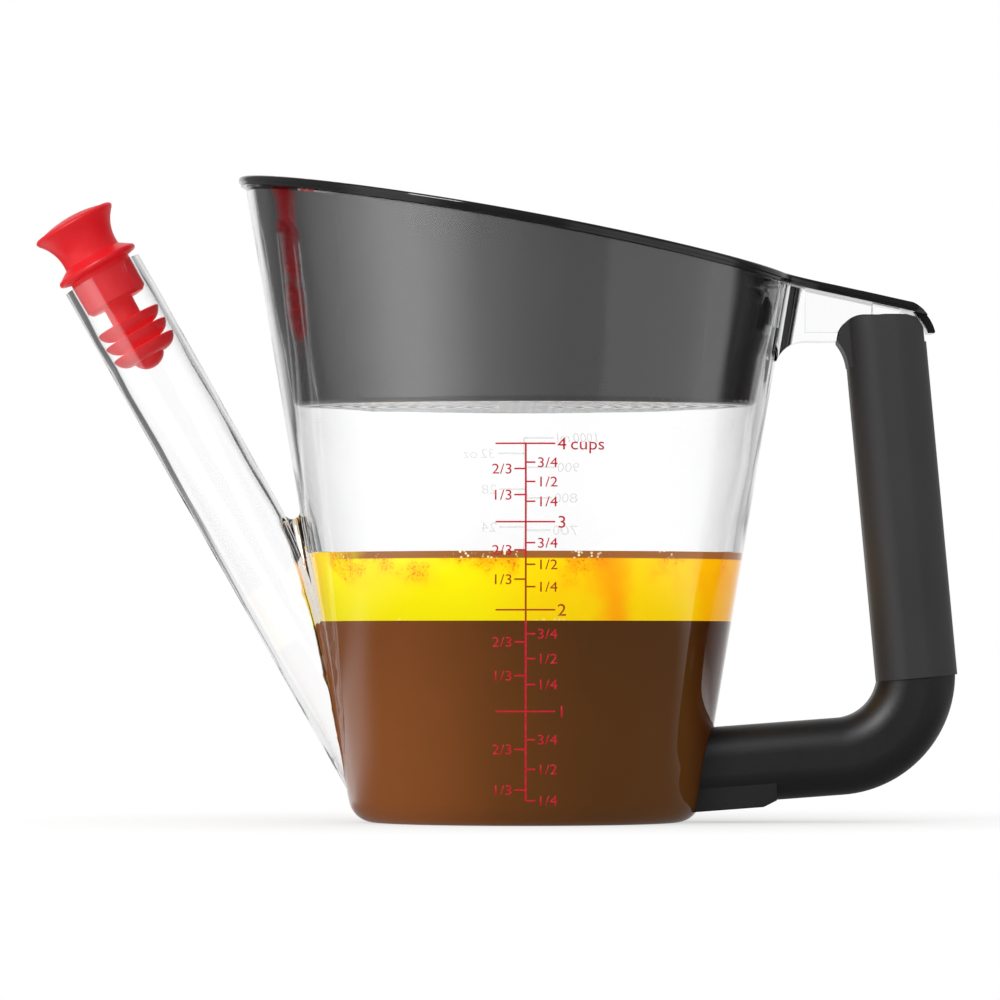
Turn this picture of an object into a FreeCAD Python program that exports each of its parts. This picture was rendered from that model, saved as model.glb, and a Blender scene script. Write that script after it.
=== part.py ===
import FreeCAD, Part

# Gravy fat separator: a clear tapered cup with a pouring spout that rises from its foot, a lift-off
# strainer with a thumb tab, a soft stopper in the spout, and a hollow handle around a rigid core.
# Millimetres. The origin is the middle of the cup's foot on the table, +Z is up, the handle is at
# +X and the spout at -X. The XZ plane is the plane of symmetry.

import math
import os
import re

import Sketcher

doc = FreeCAD.newDocument("fat_separator")

# ---------------------------------------------------------------- driving dimensions

SIZES = [
    ("cup_base_r", 46.2, "cup: outer radius of the cone at the table"),
    ("cup_lean", 9.55, "cup: angle of the wall from upright, degrees"),
    ("cup_corner", 7.0, "cup: outer rounding between wall and foot"),
    ("cup_wall", 2.5, "cup: thickness of the wall"),
    ("cup_floor", 2.6, "cup: thickness of the floor"),
    ("top_spout_z", 172.7, "top line: height of its high end, just past the rim"),
    ("top_middle_z", 159.6, "top line: height over the axis"),
    ("top_tab_z", 136.7, "top line: height of its low end, just past the tab"),
    ("mouth_drop", 26.3, "spout: depth of the mouth's centre below the top line's high end"),
    ("spout_foot", 15.9, "spout: distance of its axis inside the cone's foot, at the table"),
    ("spout_lean", 29.5, "spout: angle of its axis from upright, degrees"),
    ("spout_outer_r", 11.2, "spout: outer radius at the mouth"),
    ("spout_taper", 0.16, "spout: draft of the outside, degrees"),
    ("spout_bore_r", 9.2, "spout: radius of the bore"),
    ("crotch_round", 2.1, "spout: fillet between spout and cup"),
    ("lip_thick", 2.4, "strainer: thickness of the rim plate"),
    ("lip_over", 1.3, "strainer: overhang of the rim plate past the cup"),
    ("lip_round", 0.7, "strainer: rounding of the rim's upper edge"),
    ("lip_bead", 1.5, "strainer: height of the bead round the rim"),
    ("lip_step", 0.5, "strainer: step in of the rim below its bead"),
    ("seat_gap", 0.3, "clearance between strainer and cup, at rim and wall"),
    ("skirt_thick", 1.8, "strainer: thickness of the skirt"),
    ("strainer_z", 111.0, "strainer: height of the floor's underside"),
    ("strainer_floor", 1.8, "strainer: thickness of the floor"),
    ("hole_r", 1.5, "strainer: radius of a drain hole"),
    ("hole_pitch", 5.1, "strainer: distance between rings of drain holes"),
    ("hole_rings", 11, "strainer: number of rings of drain holes"),
    ("tab_half", 12.6, "strainer: half width of the thumb tab"),
    ("tab_round", 6.0, "strainer: rounding of the tab's corners in plan"),
    ("tab_nose", 12.0, "strainer: rounding of the tab into its turned-down end"),
    ("hook_gap", 1.5, "strainer: clearance between the tab's end and the grip"),
    ("hook_thick", 2.0, "strainer: thickness of the tab's turned-down end"),
    ("hook_drop", 6.2, "strainer: depth of the tab's turned-down end"),
    ("grip_away", 58.45, "handle: distance of the grip's lower end from the cone's foot"),
    ("parting_z", 38.6, "handle: height of the grip's lower end"),
    ("grip_lean", 5.3, "handle: angle of the grip from upright, degrees"),
    ("grip_thick", 21.4, "grip: size across, in the plane of symmetry"),
    ("grip_wide", 27.0, "grip: size from side to side"),
    ("grip_skin", 3.4, "grip: thickness of the soft sleeve"),
    ("grip_round", 8.5, "grip: rounding of its section"),
    ("grip_arch", 6.8, "grip: rounding of the top towards the cup"),
    ("cheek", 7.0, "grip: height of its cheeks beside the bracket"),
    ("lip_out", 2.1, "grip: reach of the lip towards the cup"),
    ("arm_step", 0.45, "arm: step in from the grip's surface, all round"),
    ("arm_inside", 6.2, "arm: distance of its centre line's end inside the cone's foot"),
    ("arm_start_z", 14.3, "arm: height of its centre line there"),
    ("arm_rise", 4.3, "arm: rise of its centre line away from the cup, degrees"),
    ("elbow_r", 22.0, "arm: radius of the elbow's centre line"),
    ("fit_gap", 0.1, "clearance between fixed pieces of the handle"),
    ("bracket_wide", 16.0, "bracket: size from side to side"),
    ("bracket_skin", 1.9, "bracket: thickness over the grip"),
    ("bracket_wall", 2.4, "bracket: thickness around its hollow"),
    ("bracket_past", 4.6, "bracket: reach past the grip's axis"),
    ("hollow_start", 7.0, "bracket: distance of its hollow from the cup's wall"),
    ("hollow_long", 18.0, "bracket: length of its hollow"),
    ("web_round", 5.5, "bracket: rounding into the cup's wall below"),
    ("web_side", 5.0, "bracket: flare of its sides into the cup's wall"),
    ("post_long", 24.0, "post: length below the bracket"),
    ("tongue_long", 14.0, "post: length of its tongue"),
    ("tongue_thick", 6.0, "post: thickness of its tongue"),
    ("tongue_wide", 12.0, "post: width of its tongue"),
    ("boss_long", 13.0, "boss: reach out of the cup's wall"),
    ("boss_wide", 14.0, "boss: size from side to side"),
    ("screw_r", 1.5, "screws: radius of the shank"),
    ("screw_head_r", 2.8, "screws: radius of the head"),
    ("screw_head", 2.0, "screws: height of the head"),
    ("screw_long", 10.0, "screws: length under the head"),
    ("screw_pitch", 6.6, "screws: distance between the two in the boss"),
    ("hatch_long", 13.6, "arm: length of the hole under the screws"),
    ("hatch_wide", 8.0, "arm: width of the hole under the screws"),
    ("cover_long", 17.2, "cover: length of the pad's flat underside"),
    ("cover_ramp", 3.5, "cover: length of the slope at the pad's end"),
    ("cover_inset", 0.7, "cover: step in of its sides from the arm's"),
    ("cover_proud", 1.5, "cover: height of the pad below the arm"),
    ("cap_r", 11.5, "stopper: radius of the head"),
    ("cap_top", 16.2, "stopper: height of the head over the mouth"),
    ("cap_edge", 1.6, "stopper: thickness of the head's edge"),
    ("cap_crown", 1.6, "stopper: rise of the head's crown over its edge"),
    ("waist_r", 8.0, "stopper: radius of the waist"),
    ("waist_z", 5.4, "stopper: height of the waist over the mouth"),
    ("collar_r", 11.4, "stopper: radius of the collar"),
    ("collar_top", 3.9, "stopper: height of the collar's upper face over the mouth"),
    ("collar_thick", 2.5, "stopper: thickness of the collar"),
    ("plug_r", 8.7, "stopper: radius of the plug"),
    ("plug_deep", 8.7, "stopper: depth of the plug in the mouth"),
    ("neck_r", 4.2, "stopper: radius of the neck between the fins"),
    ("fin_gap", 0.2, "stopper: clearance of the fins in the bore"),
    ("fin_deep", 13.9, "stopper: depth of the first fin in the mouth"),
    ("fin_pitch", 4.0, "stopper: distance between fins"),
    ("fin_tall", 3.5, "stopper: height of a fin's bowl"),
    ("fin_edge", 0.7, "stopper: thickness of a fin's edge"),
    ("fin_wall", 1.2, "stopper: thickness of a fin at the neck"),
    ("bulb_deep", 28.4, "stopper: depth of the rounded end in the mouth"),
    ("bulb_r", 4.8, "stopper: radius of the rounded end"),
]

sheet = doc.addObject("Spreadsheet::Sheet", "sizes")
for row, (alias, value, meaning) in enumerate(SIZES, start=1):
    sheet.set(f"A{row}", meaning)
    sheet.set(f"B{row}", str(value))
    sheet.setAlias(f"B{row}", alias)
doc.recompute()

ALIASES = re.compile(r"\b(" + "|".join(alias for alias, value, meaning in SIZES) + r")\b")


def bound(text):
    """An expression in which every size is read from the sheet."""
    return ALIASES.sub(r"sizes.\1", text)


# ---------------------------------------------------------------- sketches


def new_sketch(body, name, role, x="0", z="0", lean=None):
    """A sketch on one of the body's own planes, moved to x, z and, if asked, leaned to -X."""
    sketch = body.newObject("Sketcher::SketchObject", name)
    plane = next(item for item in body.Origin.OriginFeatures if item.Role == role)
    sketch.AttachmentSupport = (plane, [""])
    sketch.MapMode = "FlatFace"
    if lean:
        turn = FreeCAD.Rotation(FreeCAD.Vector(0, -1, 0), sketch.evalExpression(bound(lean)))
        sketch.AttachmentOffset = FreeCAD.Placement(FreeCAD.Vector(), turn)
        sketch.setExpression("AttachmentOffset.Rotation.Angle", bound(lean))
    sketch.setExpression("AttachmentOffset.Base.x", bound(x))
    sketch.setExpression("AttachmentOffset.Base.z", bound(z))
    return sketch


def spot(sketch, x, y):
    """The point of the sketch that two expressions give."""
    return FreeCAD.Vector(sketch.evalExpression(bound(x)), sketch.evalExpression(bound(y)), 0)


def pins(sketch, element, end, x, y):
    """What holds one end of an element at the place that two expressions give."""
    held = []
    for kind, axis, text in (("DistanceX", -2, x), ("DistanceY", -1, y)):
        if text == "0":
            held.append((Sketcher.Constraint("PointOnObject", element, end, axis), None))
            continue
        value = sketch.evalExpression(bound(text))
        held.append((Sketcher.Constraint(kind, -1, 1, element, end, value), text))
    return held


def hold(sketch, held):
    """Adds constraints to a sketch, and binds each that comes with an expression."""
    first = sketch.ConstraintCount
    sketch.addConstraint([constraint for constraint, text in held])
    for index, (constraint, text) in enumerate(held, start=first):
        if text:
            sketch.setExpression(f"Constraints[{index}]", bound(text))


def draw_outline(sketch, corners, bows=None):
    """A closed outline through corners; the side after corner n bends through bows[n]."""
    bows = bows or {}
    spots = [spot(sketch, x, y) for x, y in corners]
    sides = []
    held = []
    for index, start in enumerate(spots):
        stop = spots[(index + 1) % len(spots)]
        if index not in bows:
            side = sketch.addGeometry(Part.LineSegment(start, stop), False)
            sides.append((side, 1, 2))
            continue
        middle = spot(sketch, *bows[index])
        side = sketch.addGeometry(Part.Arc(start, middle, stop), False)
        ahead = sketch.getPoint(side, 1).distanceToPoint(start) < 1e-6
        sides.append((side, 1, 2) if ahead else (side, 2, 1))
        mark = sketch.addGeometry(Part.Point(middle), True)
        held += pins(sketch, mark, 1, *bows[index])
        held.append((Sketcher.Constraint("PointOnObject", mark, 1, side), None))
    for (side, _, last), (following, first, _) in zip(sides, sides[1:] + sides[:1]):
        held.append((Sketcher.Constraint("Coincident", side, last, following, first), None))
    for (side, first, _), (x, y) in zip(sides, corners):
        held += pins(sketch, side, first, x, y)
    hold(sketch, held)


def draw_circles(sketch, places, radius):
    """Equal full circles round the places, each a pair of expressions."""
    size = sketch.evalExpression(bound(radius))
    upward = FreeCAD.Vector(0, 0, 1)
    rings = [Part.Circle(spot(sketch, x, y), upward, size) for x, y in places]
    elements = sketch.addGeometry(rings, False)
    held = [(Sketcher.Constraint("Radius", elements[0], size), radius)]
    held += [(Sketcher.Constraint("Equal", elements[0], other), None) for other in elements[1:]]
    for element, (x, y) in zip(elements, places):
        held += pins(sketch, element, 3, x, y)
    hold(sketch, held)


def draw_rounded(sketch, half_x, half_y, radius):
    """A rectangle with round corners about the sketch's origin."""
    nick = f"({radius}) * (1 - cos(45))"
    inner_x = f"({half_x}) - ({radius})"
    inner_y = f"({half_y}) - ({radius})"
    corners = []
    bows = {}
    for sx, sy in ((1, -1), (1, 1), (-1, 1), (-1, -1)):
        side = (f"{sx} * ({half_x})", f"{sy} * ({inner_y})")
        end = (f"{sx} * ({inner_x})", f"{sy} * ({half_y})")
        start, stop = (end, side) if sx * sy < 0 else (side, end)
        bows[len(corners)] = (f"{sx} * (({half_x}) - {nick})", f"{sy} * (({half_y}) - {nick})")
        corners += [start, stop]
    draw_outline(sketch, corners, bows)


# ---------------------------------------------------------------- features


def new_body(label):
    """A sub-part's body; its label is also the name of its file."""
    body = doc.addObject("PartDesign::Body", label)
    body.Label = label
    return body


def extrude(body, kind, name, sketch, length=None, both=False, reverse=False, taper=None):
    """A Pad or a Pocket of a sketch, through everything when no length is given."""
    feature = body.newObject("PartDesign::" + kind, name)
    feature.Profile = sketch
    if both:
        feature.SideType = "Symmetric"
    if length:
        feature.setExpression("Length", bound(length))
    else:
        feature.Type = "ThroughAll"
    if taper:
        feature.setExpression("TaperAngle", bound(taper))
    feature.Reversed = reverse
    body.Tip = feature
    return feature


def turn(body, kind, name, sketch):
    """A full Revolution or Groove of a sketch about the body's Z axis."""
    feature = body.newObject("PartDesign::" + kind, name)
    feature.Profile = sketch
    axis = next(item for item in body.Origin.OriginFeatures if item.Role == "Z_Axis")
    feature.ReferenceAxis = (axis, [""])
    feature.Angle = 360
    body.Tip = feature
    return feature


def round_edges(body, name, radius, wanted):
    """A fillet on the edges of the body's present shape that the test picks."""
    doc.recompute()
    base = body.Tip
    edges = [f"Edge{n}" for n, edge in enumerate(base.Shape.Edges, start=1) if wanted(edge)]
    feature = body.newObject("PartDesign::Fillet", name)
    feature.Base = (base, edges)
    feature.setExpression("Radius", bound(radius))
    body.Tip = feature
    return feature


# ---------------------------------------------------------------- shared shapes

FAR = "2 * top_spout_z"                      # a length past the whole object
CONE_TOP = "(top_spout_z + cup_corner)"      # height of the cones before they are trimmed
MOUTH_Z = "(top_spout_z - mouth_drop)"
MOUTH_X = f"(cup_base_r - spout_foot + {MOUTH_Z} * tan(spout_lean))"
PARTING_X = "(cup_base_r + grip_away)"
ARM_START_X = "(cup_base_r - arm_inside)"
GRIP_TOP_X = f"({PARTING_X} - (top_tab_z - parting_z) * tan(grip_lean))"
TAB_END_X = f"({GRIP_TOP_X} + grip_thick / 2 / cos(grip_lean) + hook_gap + hook_thick)"


def cone_r(z, grow):
    """Radius at height z of the cup's outer cone, moved out by grow along its normal."""
    return f"(cup_base_r + ({z}) * tan(cup_lean) + ({grow}) / cos(cup_lean))"


LINE_LEFT = f"({cone_r('top_spout_z', '0')} + lip_over + 2)"
LINE_RIGHT = f"({TAB_END_X} + 2)"


def draw_cone(sketch, grow, base_z, corner):
    """Half section of a cup-shaped solid: the cup's cone moved out by grow, its foot at base_z."""
    reach = f"(({corner}) * tan((90 - cup_lean) / 2))"
    corner_x = f"{cone_r(base_z, grow)} - {reach}"
    wall_x = f"{cone_r(base_z, grow)} + {reach} * sin(cup_lean)"
    wall_z = f"{base_z} + {reach} * cos(cup_lean)"
    bow_x = f"{corner_x} + ({corner}) * cos((90 + cup_lean) / 2)"
    bow_z = f"{base_z} + ({corner}) * (1 - sin((90 + cup_lean) / 2))"
    corners = [
        ("0", base_z),
        (corner_x, base_z),
        (wall_x, wall_z),
        (cone_r(CONE_TOP, grow), CONE_TOP),
        ("0", CONE_TOP),
    ]
    draw_outline(sketch, corners, {1: (bow_x, bow_z)})


def draw_above(sketch, drop):
    """All that lies above the top line lowered by drop: one long arc from spout side to tab."""
    corners = [
        (f"-{LINE_LEFT}", f"top_spout_z - ({drop})"),
        (LINE_RIGHT, f"top_tab_z - ({drop})"),
        (LINE_RIGHT, FAR),
        (f"-{LINE_LEFT}", FAR),
    ]
    draw_outline(sketch, corners, {0: ("0", f"top_middle_z - ({drop})")})


def draw_below(sketch, drop):
    """All that lies below the top line lowered by drop."""
    corners = [
        (f"-{LINE_LEFT}", f"top_spout_z - ({drop})"),
        (LINE_RIGHT, f"top_tab_z - ({drop})"),
        (LINE_RIGHT, f"-({FAR})"),
        (f"-{LINE_LEFT}", f"-({FAR})"),
    ]
    draw_outline(sketch, corners, {0: ("0", f"top_middle_z - ({drop})")})


# Height of the top line's chord over the grip's axis, and what hangs below it there.
CHORD_Z = f"(top_tab_z + (top_middle_z - top_tab_z) * (1 - {GRIP_TOP_X} / {LINE_RIGHT}))"
GRIP_TOP_Z = f"({CHORD_Z} - lip_thick - seat_gap - bracket_skin)"
BRACKET_Z = f"({GRIP_TOP_Z} - cheek)"
GRIP_LONG = f"(({GRIP_TOP_Z} - parting_z) / cos(grip_lean))"
CHEEK_START = f"(({BRACKET_Z} - parting_z) / cos(grip_lean))"
POST_END = f"({CHEEK_START} - post_long)"

# Half sizes of the sections that nest in one another along the handle.
CORE_HALF_X = "(grip_thick / 2 - grip_skin - fit_gap)"
CORE_HALF_Y = "(grip_wide / 2 - grip_skin - fit_gap)"
CORE_ROUND = "(grip_round - grip_skin - fit_gap)"
ARM_HALF_X = "(grip_thick / 2 - arm_step)"
ARM_HALF_Y = "(grip_wide / 2 - arm_step)"
ARM_ROUND = "(grip_round - arm_step)"


def grip_point(height):
    """Place on the grip's axis at a height along it, measured from the parting line."""
    x = f"{PARTING_X} - ({height}) * sin(grip_lean)"
    return x, f"parting_z + ({height}) * cos(grip_lean)"


def handle_sketch(body, name, height):
    """A sketch across the grip's axis, at a height along it."""
    x, z = grip_point(height)
    return new_sketch(body, name, "XY_Plane", x, z, "grip_lean")


# ---------------------------------------------------------------- cup
# One clear moulding: cone, spout, bracket with the post for the grip, and the boss for the arm.

cup = new_body("cup")

sketch = new_sketch(cup, "cup_outside", "XZ_Plane")
draw_cone(sketch, "0", "0", "cup_corner")
turn(cup, "Revolution", "cup_cone", sketch)

# The spout's outside runs down its axis until it is buried in the cone, just above the foot.
SPOUT_LOW = "(spout_outer_r * sin(spout_lean) + 0.7 * cup_corner)"
SPOUT_DEEP = f"(({MOUTH_Z} - {SPOUT_LOW}) / cos(spout_lean))"
sketch = new_sketch(cup, "spout_outside", "XY_Plane", f"-{MOUTH_X}", MOUTH_Z, "spout_lean")
draw_circles(sketch, [("0", "0")], "spout_outer_r")
extrude(cup, "Pad", "spout_tube", sketch, SPOUT_DEEP, reverse=True, taper="-spout_taper")


def crotch(edge):
    """The seam where the spout's outside meets the cone."""
    box = edge.BoundBox
    below = box.ZMax < 0.6 * sheet.top_spout_z
    return below and box.XMax < 0 and box.ZLength > sheet.cup_base_r


round_edges(cup, "crotch_fillet", "crotch_round", crotch)

# The bracket leaves the cone under the tab; its underside rounds down into the wall.
WEB_Z = f"({BRACKET_Z} - web_round)"
WEB_X = cone_r(WEB_Z, "0")
ARCH_X = f"{WEB_X} + 1.6 * web_round"
ARCH_BOW = (f"{WEB_X} + 0.55 * web_round", f"{BRACKET_Z} - 0.3 * web_round")
sketch = new_sketch(cup, "bracket_side", "XZ_Plane")
draw_outline(
    sketch,
    [
        ("0.5 * cup_base_r", WEB_Z),
        (WEB_X, WEB_Z),
        (ARCH_X, BRACKET_Z),
        (f"{GRIP_TOP_X} + bracket_past", BRACKET_Z),
        (f"{GRIP_TOP_X} + bracket_past", CONE_TOP),
        ("0.5 * cup_base_r", CONE_TOP),
    ],
    {1: ARCH_BOW},
)
extrude(cup, "Pad", "bracket", sketch, "bracket_wide", both=True)

# Its sides flare into the wall, and the flare ends at the same arch below.
FLARE_HALF = "(bracket_wide / 2 + web_side)"
sketch = new_sketch(cup, "flare_plan", "XY_Plane", WEB_X, WEB_Z, "-cup_lean")
draw_outline(
    sketch,
    [
        ("-web_side", f"-{FLARE_HALF}"),
        ("-web_side / 3", f"-{FLARE_HALF}"),
        ("web_side", "-bracket_wide / 2"),
        ("web_side", "bracket_wide / 2"),
        ("-web_side / 3", FLARE_HALF),
        ("-web_side", FLARE_HALF),
    ],
    {
        1: ("0.2 * web_side", "-(bracket_wide / 2 + 0.3 * web_side)"),
        3: ("0.2 * web_side", "bracket_wide / 2 + 0.3 * web_side"),
    },
)
extrude(cup, "Pad", "flare", sketch, f"({CONE_TOP} - {WEB_Z}) / cos(cup_lean)")
sketch = new_sketch(cup, "under_flare", "XZ_Plane")
draw_outline(
    sketch,
    [
        (WEB_X, WEB_Z),
        (ARCH_X, BRACKET_Z),
        (ARCH_X, f"{WEB_Z} - web_side"),
        (WEB_X, f"{WEB_Z} - web_side"),
    ],
    {0: ARCH_BOW},
)
extrude(cup, "Pocket", "flare_underside", sketch, "2 * bracket_wide", both=True)

# The post goes down the middle of the grip and ends in a tongue.
sketch = handle_sketch(cup, "post_section", CHEEK_START)
draw_rounded(sketch, CORE_HALF_X, "bracket_wide / 2", CORE_ROUND)
extrude(cup, "Pad", "post", sketch, "post_long", reverse=True)

sketch = handle_sketch(cup, "tongue_section", POST_END)
draw_rounded(sketch, "tongue_thick / 2", "tongue_wide / 2", "tongue_thick / 4")
extrude(cup, "Pad", "tongue", sketch, "tongue_long", reverse=True)

# The boss fills the upper half of the arm's core next to the wall.
ARM_SLOPE = "tan(arm_rise)"
BOSS_END = "(cup_base_r + boss_long + arm_start_z * tan(cup_lean))"
LAP_Z = "(arm_start_z + boss_long * tan(arm_rise))"
BOSS_TOP = f"({LAP_Z} + {CORE_HALF_X} - 1.2)"
sketch = new_sketch(cup, "boss_side", "XZ_Plane")
draw_outline(
    sketch,
    [
        ("0.5 * cup_base_r", LAP_Z),
        (BOSS_END, LAP_Z),
        (BOSS_END, BOSS_TOP),
        ("0.5 * cup_base_r", BOSS_TOP),
    ],
)
extrude(cup, "Pad", "boss", sketch, "boss_wide", both=True)

# Everything of the cup stays below the strainer's rim.
sketch = new_sketch(cup, "rim_line", "XZ_Plane")
draw_above(sketch, "lip_thick + seat_gap")
extrude(cup, "Pocket", "rim_cut", sketch, FAR, both=True)

sketch = new_sketch(cup, "cup_inside", "XZ_Plane")
draw_cone(sketch, "-cup_wall", "cup_floor", "cup_corner - cup_wall")
turn(cup, "Groove", "cup_hollow", sketch)

# The bore opens through the cup's wall just above its floor.
BORE_LOW = "(cup_floor + spout_bore_r * sin(spout_lean) + 0.7 * cup_floor)"
BORE_DEEP = f"(({MOUTH_Z} - {BORE_LOW}) / cos(spout_lean))"
sketch = new_sketch(cup, "bore_section", "XY_Plane", f"-{MOUTH_X}", MOUTH_Z, "spout_lean")
draw_circles(sketch, [("0", "0")], "spout_bore_r")
extrude(cup, "Pocket", "spout_bore", sketch, BORE_DEEP)

# The bracket is hollow from above, so that its walls are as thin as the rest.
HOLLOW_X = f"({cone_r(BRACKET_Z, '0')} + hollow_start)"
HOLLOW_Z = f"({BRACKET_Z} + bracket_wall)"
sketch = new_sketch(cup, "hollow_side", "XZ_Plane")
draw_outline(
    sketch,
    [
        (HOLLOW_X, HOLLOW_Z),
        (f"{HOLLOW_X} + hollow_long", HOLLOW_Z),
        (f"{HOLLOW_X} + hollow_long", CONE_TOP),
        (HOLLOW_X, CONE_TOP),
    ],
)
extrude(cup, "Pocket", "bracket_hollow", sketch, "bracket_wide - 2 * bracket_wall", both=True)

# Pilot holes of the screws: two up into the boss, one across the tongue.
SCREW_X = f"({BOSS_END} - boss_long / 2)"
SCREW_HOLE = "screw_r + fit_gap / 2"
SCREW_PLACES = [(f"{SCREW_X} - screw_pitch / 2", "0"), (f"{SCREW_X} + screw_pitch / 2", "0")]
sketch = new_sketch(cup, "boss_holes", "XY_Plane", z=LAP_Z)
draw_circles(sketch, SCREW_PLACES, SCREW_HOLE)
extrude(cup, "Pocket", "boss_pilots", sketch, "screw_long / 2 + screw_r", reverse=True)

CROSS_X, CROSS_Z = grip_point(f"{POST_END} - tongue_long / 2")
sketch = new_sketch(cup, "tongue_hole", "XZ_Plane")
draw_circles(sketch, [(CROSS_X, CROSS_Z)], SCREW_HOLE)
extrude(cup, "Pocket", "tongue_pilot", sketch, "2 * tongue_wide", both=True)

# ---------------------------------------------------------------- strainer
# One black moulding: a rim plate with a thumb tab, a skirt that fills the cup's mouth and a
# perforated floor. It hangs on the cup's rim.

strainer = new_body("strainer")

# In plan the rim is a circle round the slanted mouth, a little nearer the spout than the axis.
RIM_SHARE = f"({cone_r('top_middle_z', '0')} / {LINE_RIGHT})"
LOW_RIM_Z = f"(top_middle_z - (top_middle_z - top_tab_z) * {RIM_SHARE})"
RIM_LEFT = f"({cone_r('top_spout_z', '0')} + lip_over)"
RIM_RIGHT = f"({cone_r(LOW_RIM_Z, '0')} + lip_over)"
RIM_X = f"(({RIM_RIGHT} - {RIM_LEFT}) / 2)"
RIM_R = f"(({RIM_RIGHT} + {RIM_LEFT}) / 2)"


def draw_rim(sketch, inset):
    """The rim in plan, moved in by inset: a circle over the mouth, drawn out into the tab."""
    rim_r = f"({RIM_R} - {inset})"
    half = f"(tab_half - {inset})"
    end = f"({TAB_END_X} - {inset})"
    side = f"({RIM_X} + sqrt(pow({rim_r}, 2) - pow(1.5 * tab_half, 2)))"
    nick = "tab_round * (1 - cos(45))"
    draw_outline(
        sketch,
        [
            (side, "-1.5 * tab_half"),
            (f"{side} + tab_half", f"-{half}"),
            (f"{end} - tab_round", f"-{half}"),
            (end, f"tab_round - {half}"),
            (end, f"{half} - tab_round"),
            (f"{end} - tab_round", half),
            (f"{side} + tab_half", half),
            (side, "1.5 * tab_half"),
        ],
        {
            0: (f"{side} + tab_half / 3", f"{inset} - 1.14 * tab_half"),
            2: (f"{end} - {nick}", f"{nick} - {half}"),
            4: (f"{end} - {nick}", f"{half} - {nick}"),
            6: (f"{side} + tab_half / 3", f"1.14 * tab_half - {inset}"),
            7: (f"{RIM_X} - {rim_r}", "0"),
        },
    )


# A bead runs round the rim; below it the rim steps in.
for name, inset, depth in (("bead", "0", "lip_bead"), ("rim", "lip_step", "lip_thick")):
    sketch = new_sketch(strainer, name + "_plan", "XY_Plane")
    draw_rim(sketch, inset)
    extrude(strainer, "Pad", name + "_block", sketch, CONE_TOP)
    sketch = new_sketch(strainer, "under_" + name, "XZ_Plane")
    draw_below(sketch, depth)
    extrude(strainer, "Pocket", name + "_underside", sketch, FAR, both=True)

# The tab rounds over its nose into an end that turns down in front of the grip's top.
TAB_SLOPE = f"atan((top_middle_z - top_tab_z) / {LINE_RIGHT})"
NOSE_X = f"({TAB_END_X} - tab_nose)"
NOSE_TOP_X = f"({NOSE_X} + tab_nose * sin({TAB_SLOPE}))"
NOSE_FALL = f"(top_middle_z - top_tab_z) * {NOSE_TOP_X} / {LINE_RIGHT}"
NOSE_Z = f"(top_middle_z - {NOSE_FALL} + 0.05 * tab_nose - tab_nose * cos({TAB_SLOPE}))"


def nose_point(radius, angle):
    """A point round the nose's centre, its angle measured up from +X."""
    return f"{NOSE_X} + ({radius}) * cos({angle})", f"{NOSE_Z} + ({radius}) * sin({angle})"


HOOK_IN = "(tab_nose - hook_thick)"
HOOK_Z = "(top_tab_z - hook_drop)"
HOOK_TURN = f"asin(({HOOK_Z} - {NOSE_Z}) / {HOOK_IN})"
sketch = new_sketch(strainer, "hook_side", "XZ_Plane")
draw_outline(
    sketch,
    [
        (f"{TAB_END_X} - 0.3 * hook_thick", HOOK_Z),
        (TAB_END_X, f"{HOOK_Z} + 0.6 * hook_thick"),
        (TAB_END_X, CONE_TOP),
        (NOSE_X, CONE_TOP),
        nose_point(HOOK_IN, "90"),
        nose_point(HOOK_IN, HOOK_TURN),
    ],
    {4: nose_point(HOOK_IN, f"(90 deg + {HOOK_TURN}) / 2")},
)
extrude(strainer, "Pad", "hook", sketch, "2 * (tab_half - tab_round)", both=True)

SKIRT_GROW = "(-cup_wall - seat_gap)"
sketch = new_sketch(strainer, "skirt_outside", "XZ_Plane")
draw_cone(sketch, SKIRT_GROW, "strainer_z", "skirt_thick")
turn(strainer, "Revolution", "skirt", sketch)

sketch = new_sketch(strainer, "top_line", "XZ_Plane")
draw_above(sketch, "0")
extrude(strainer, "Pocket", "top_cut", sketch, FAR, both=True)

sketch = new_sketch(strainer, "skirt_inside", "XZ_Plane")
draw_cone(sketch, f"({SKIRT_GROW} - skirt_thick)", "strainer_z + strainer_floor", "skirt_thick")
turn(strainer, "Groove", "basket", sketch)


def rim_edge(edge):
    """An edge of the rim's upper outline, outside the basket."""
    box = edge.BoundBox
    middle = edge.valueAt((edge.FirstParameter + edge.LastParameter) / 2)
    chord = math.hypot(middle.x, middle.y)
    on_top = middle.z > top_height(middle.x) - 0.05
    return on_top and box.ZMin > sheet.strainer_z and chord > rim_inner(middle.z)


def top_height(x):
    """Height of the top line at x, on the circle through its three given points."""
    ends = (
        FreeCAD.Vector(-sheet.evalExpression(bound(LINE_LEFT)), sheet.top_spout_z, 0),
        FreeCAD.Vector(0, sheet.top_middle_z, 0),
        FreeCAD.Vector(sheet.evalExpression(bound(LINE_RIGHT)), sheet.top_tab_z, 0),
    )
    circle = Part.Arc(*ends).toShape().Curve
    rise = math.sqrt(circle.Radius**2 - (x - circle.Center.x) ** 2)
    return circle.Center.y + math.copysign(rise, ends[1].y - circle.Center.y)


def rim_inner(z):
    """Radius that lies between the basket and the rim's outer edge at height z."""
    return sheet.cup_base_r + z * math.tan(math.radians(sheet.cup_lean)) - sheet.cup_wall / 2


round_edges(strainer, "rim_fillet", "lip_round", rim_edge)

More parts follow.
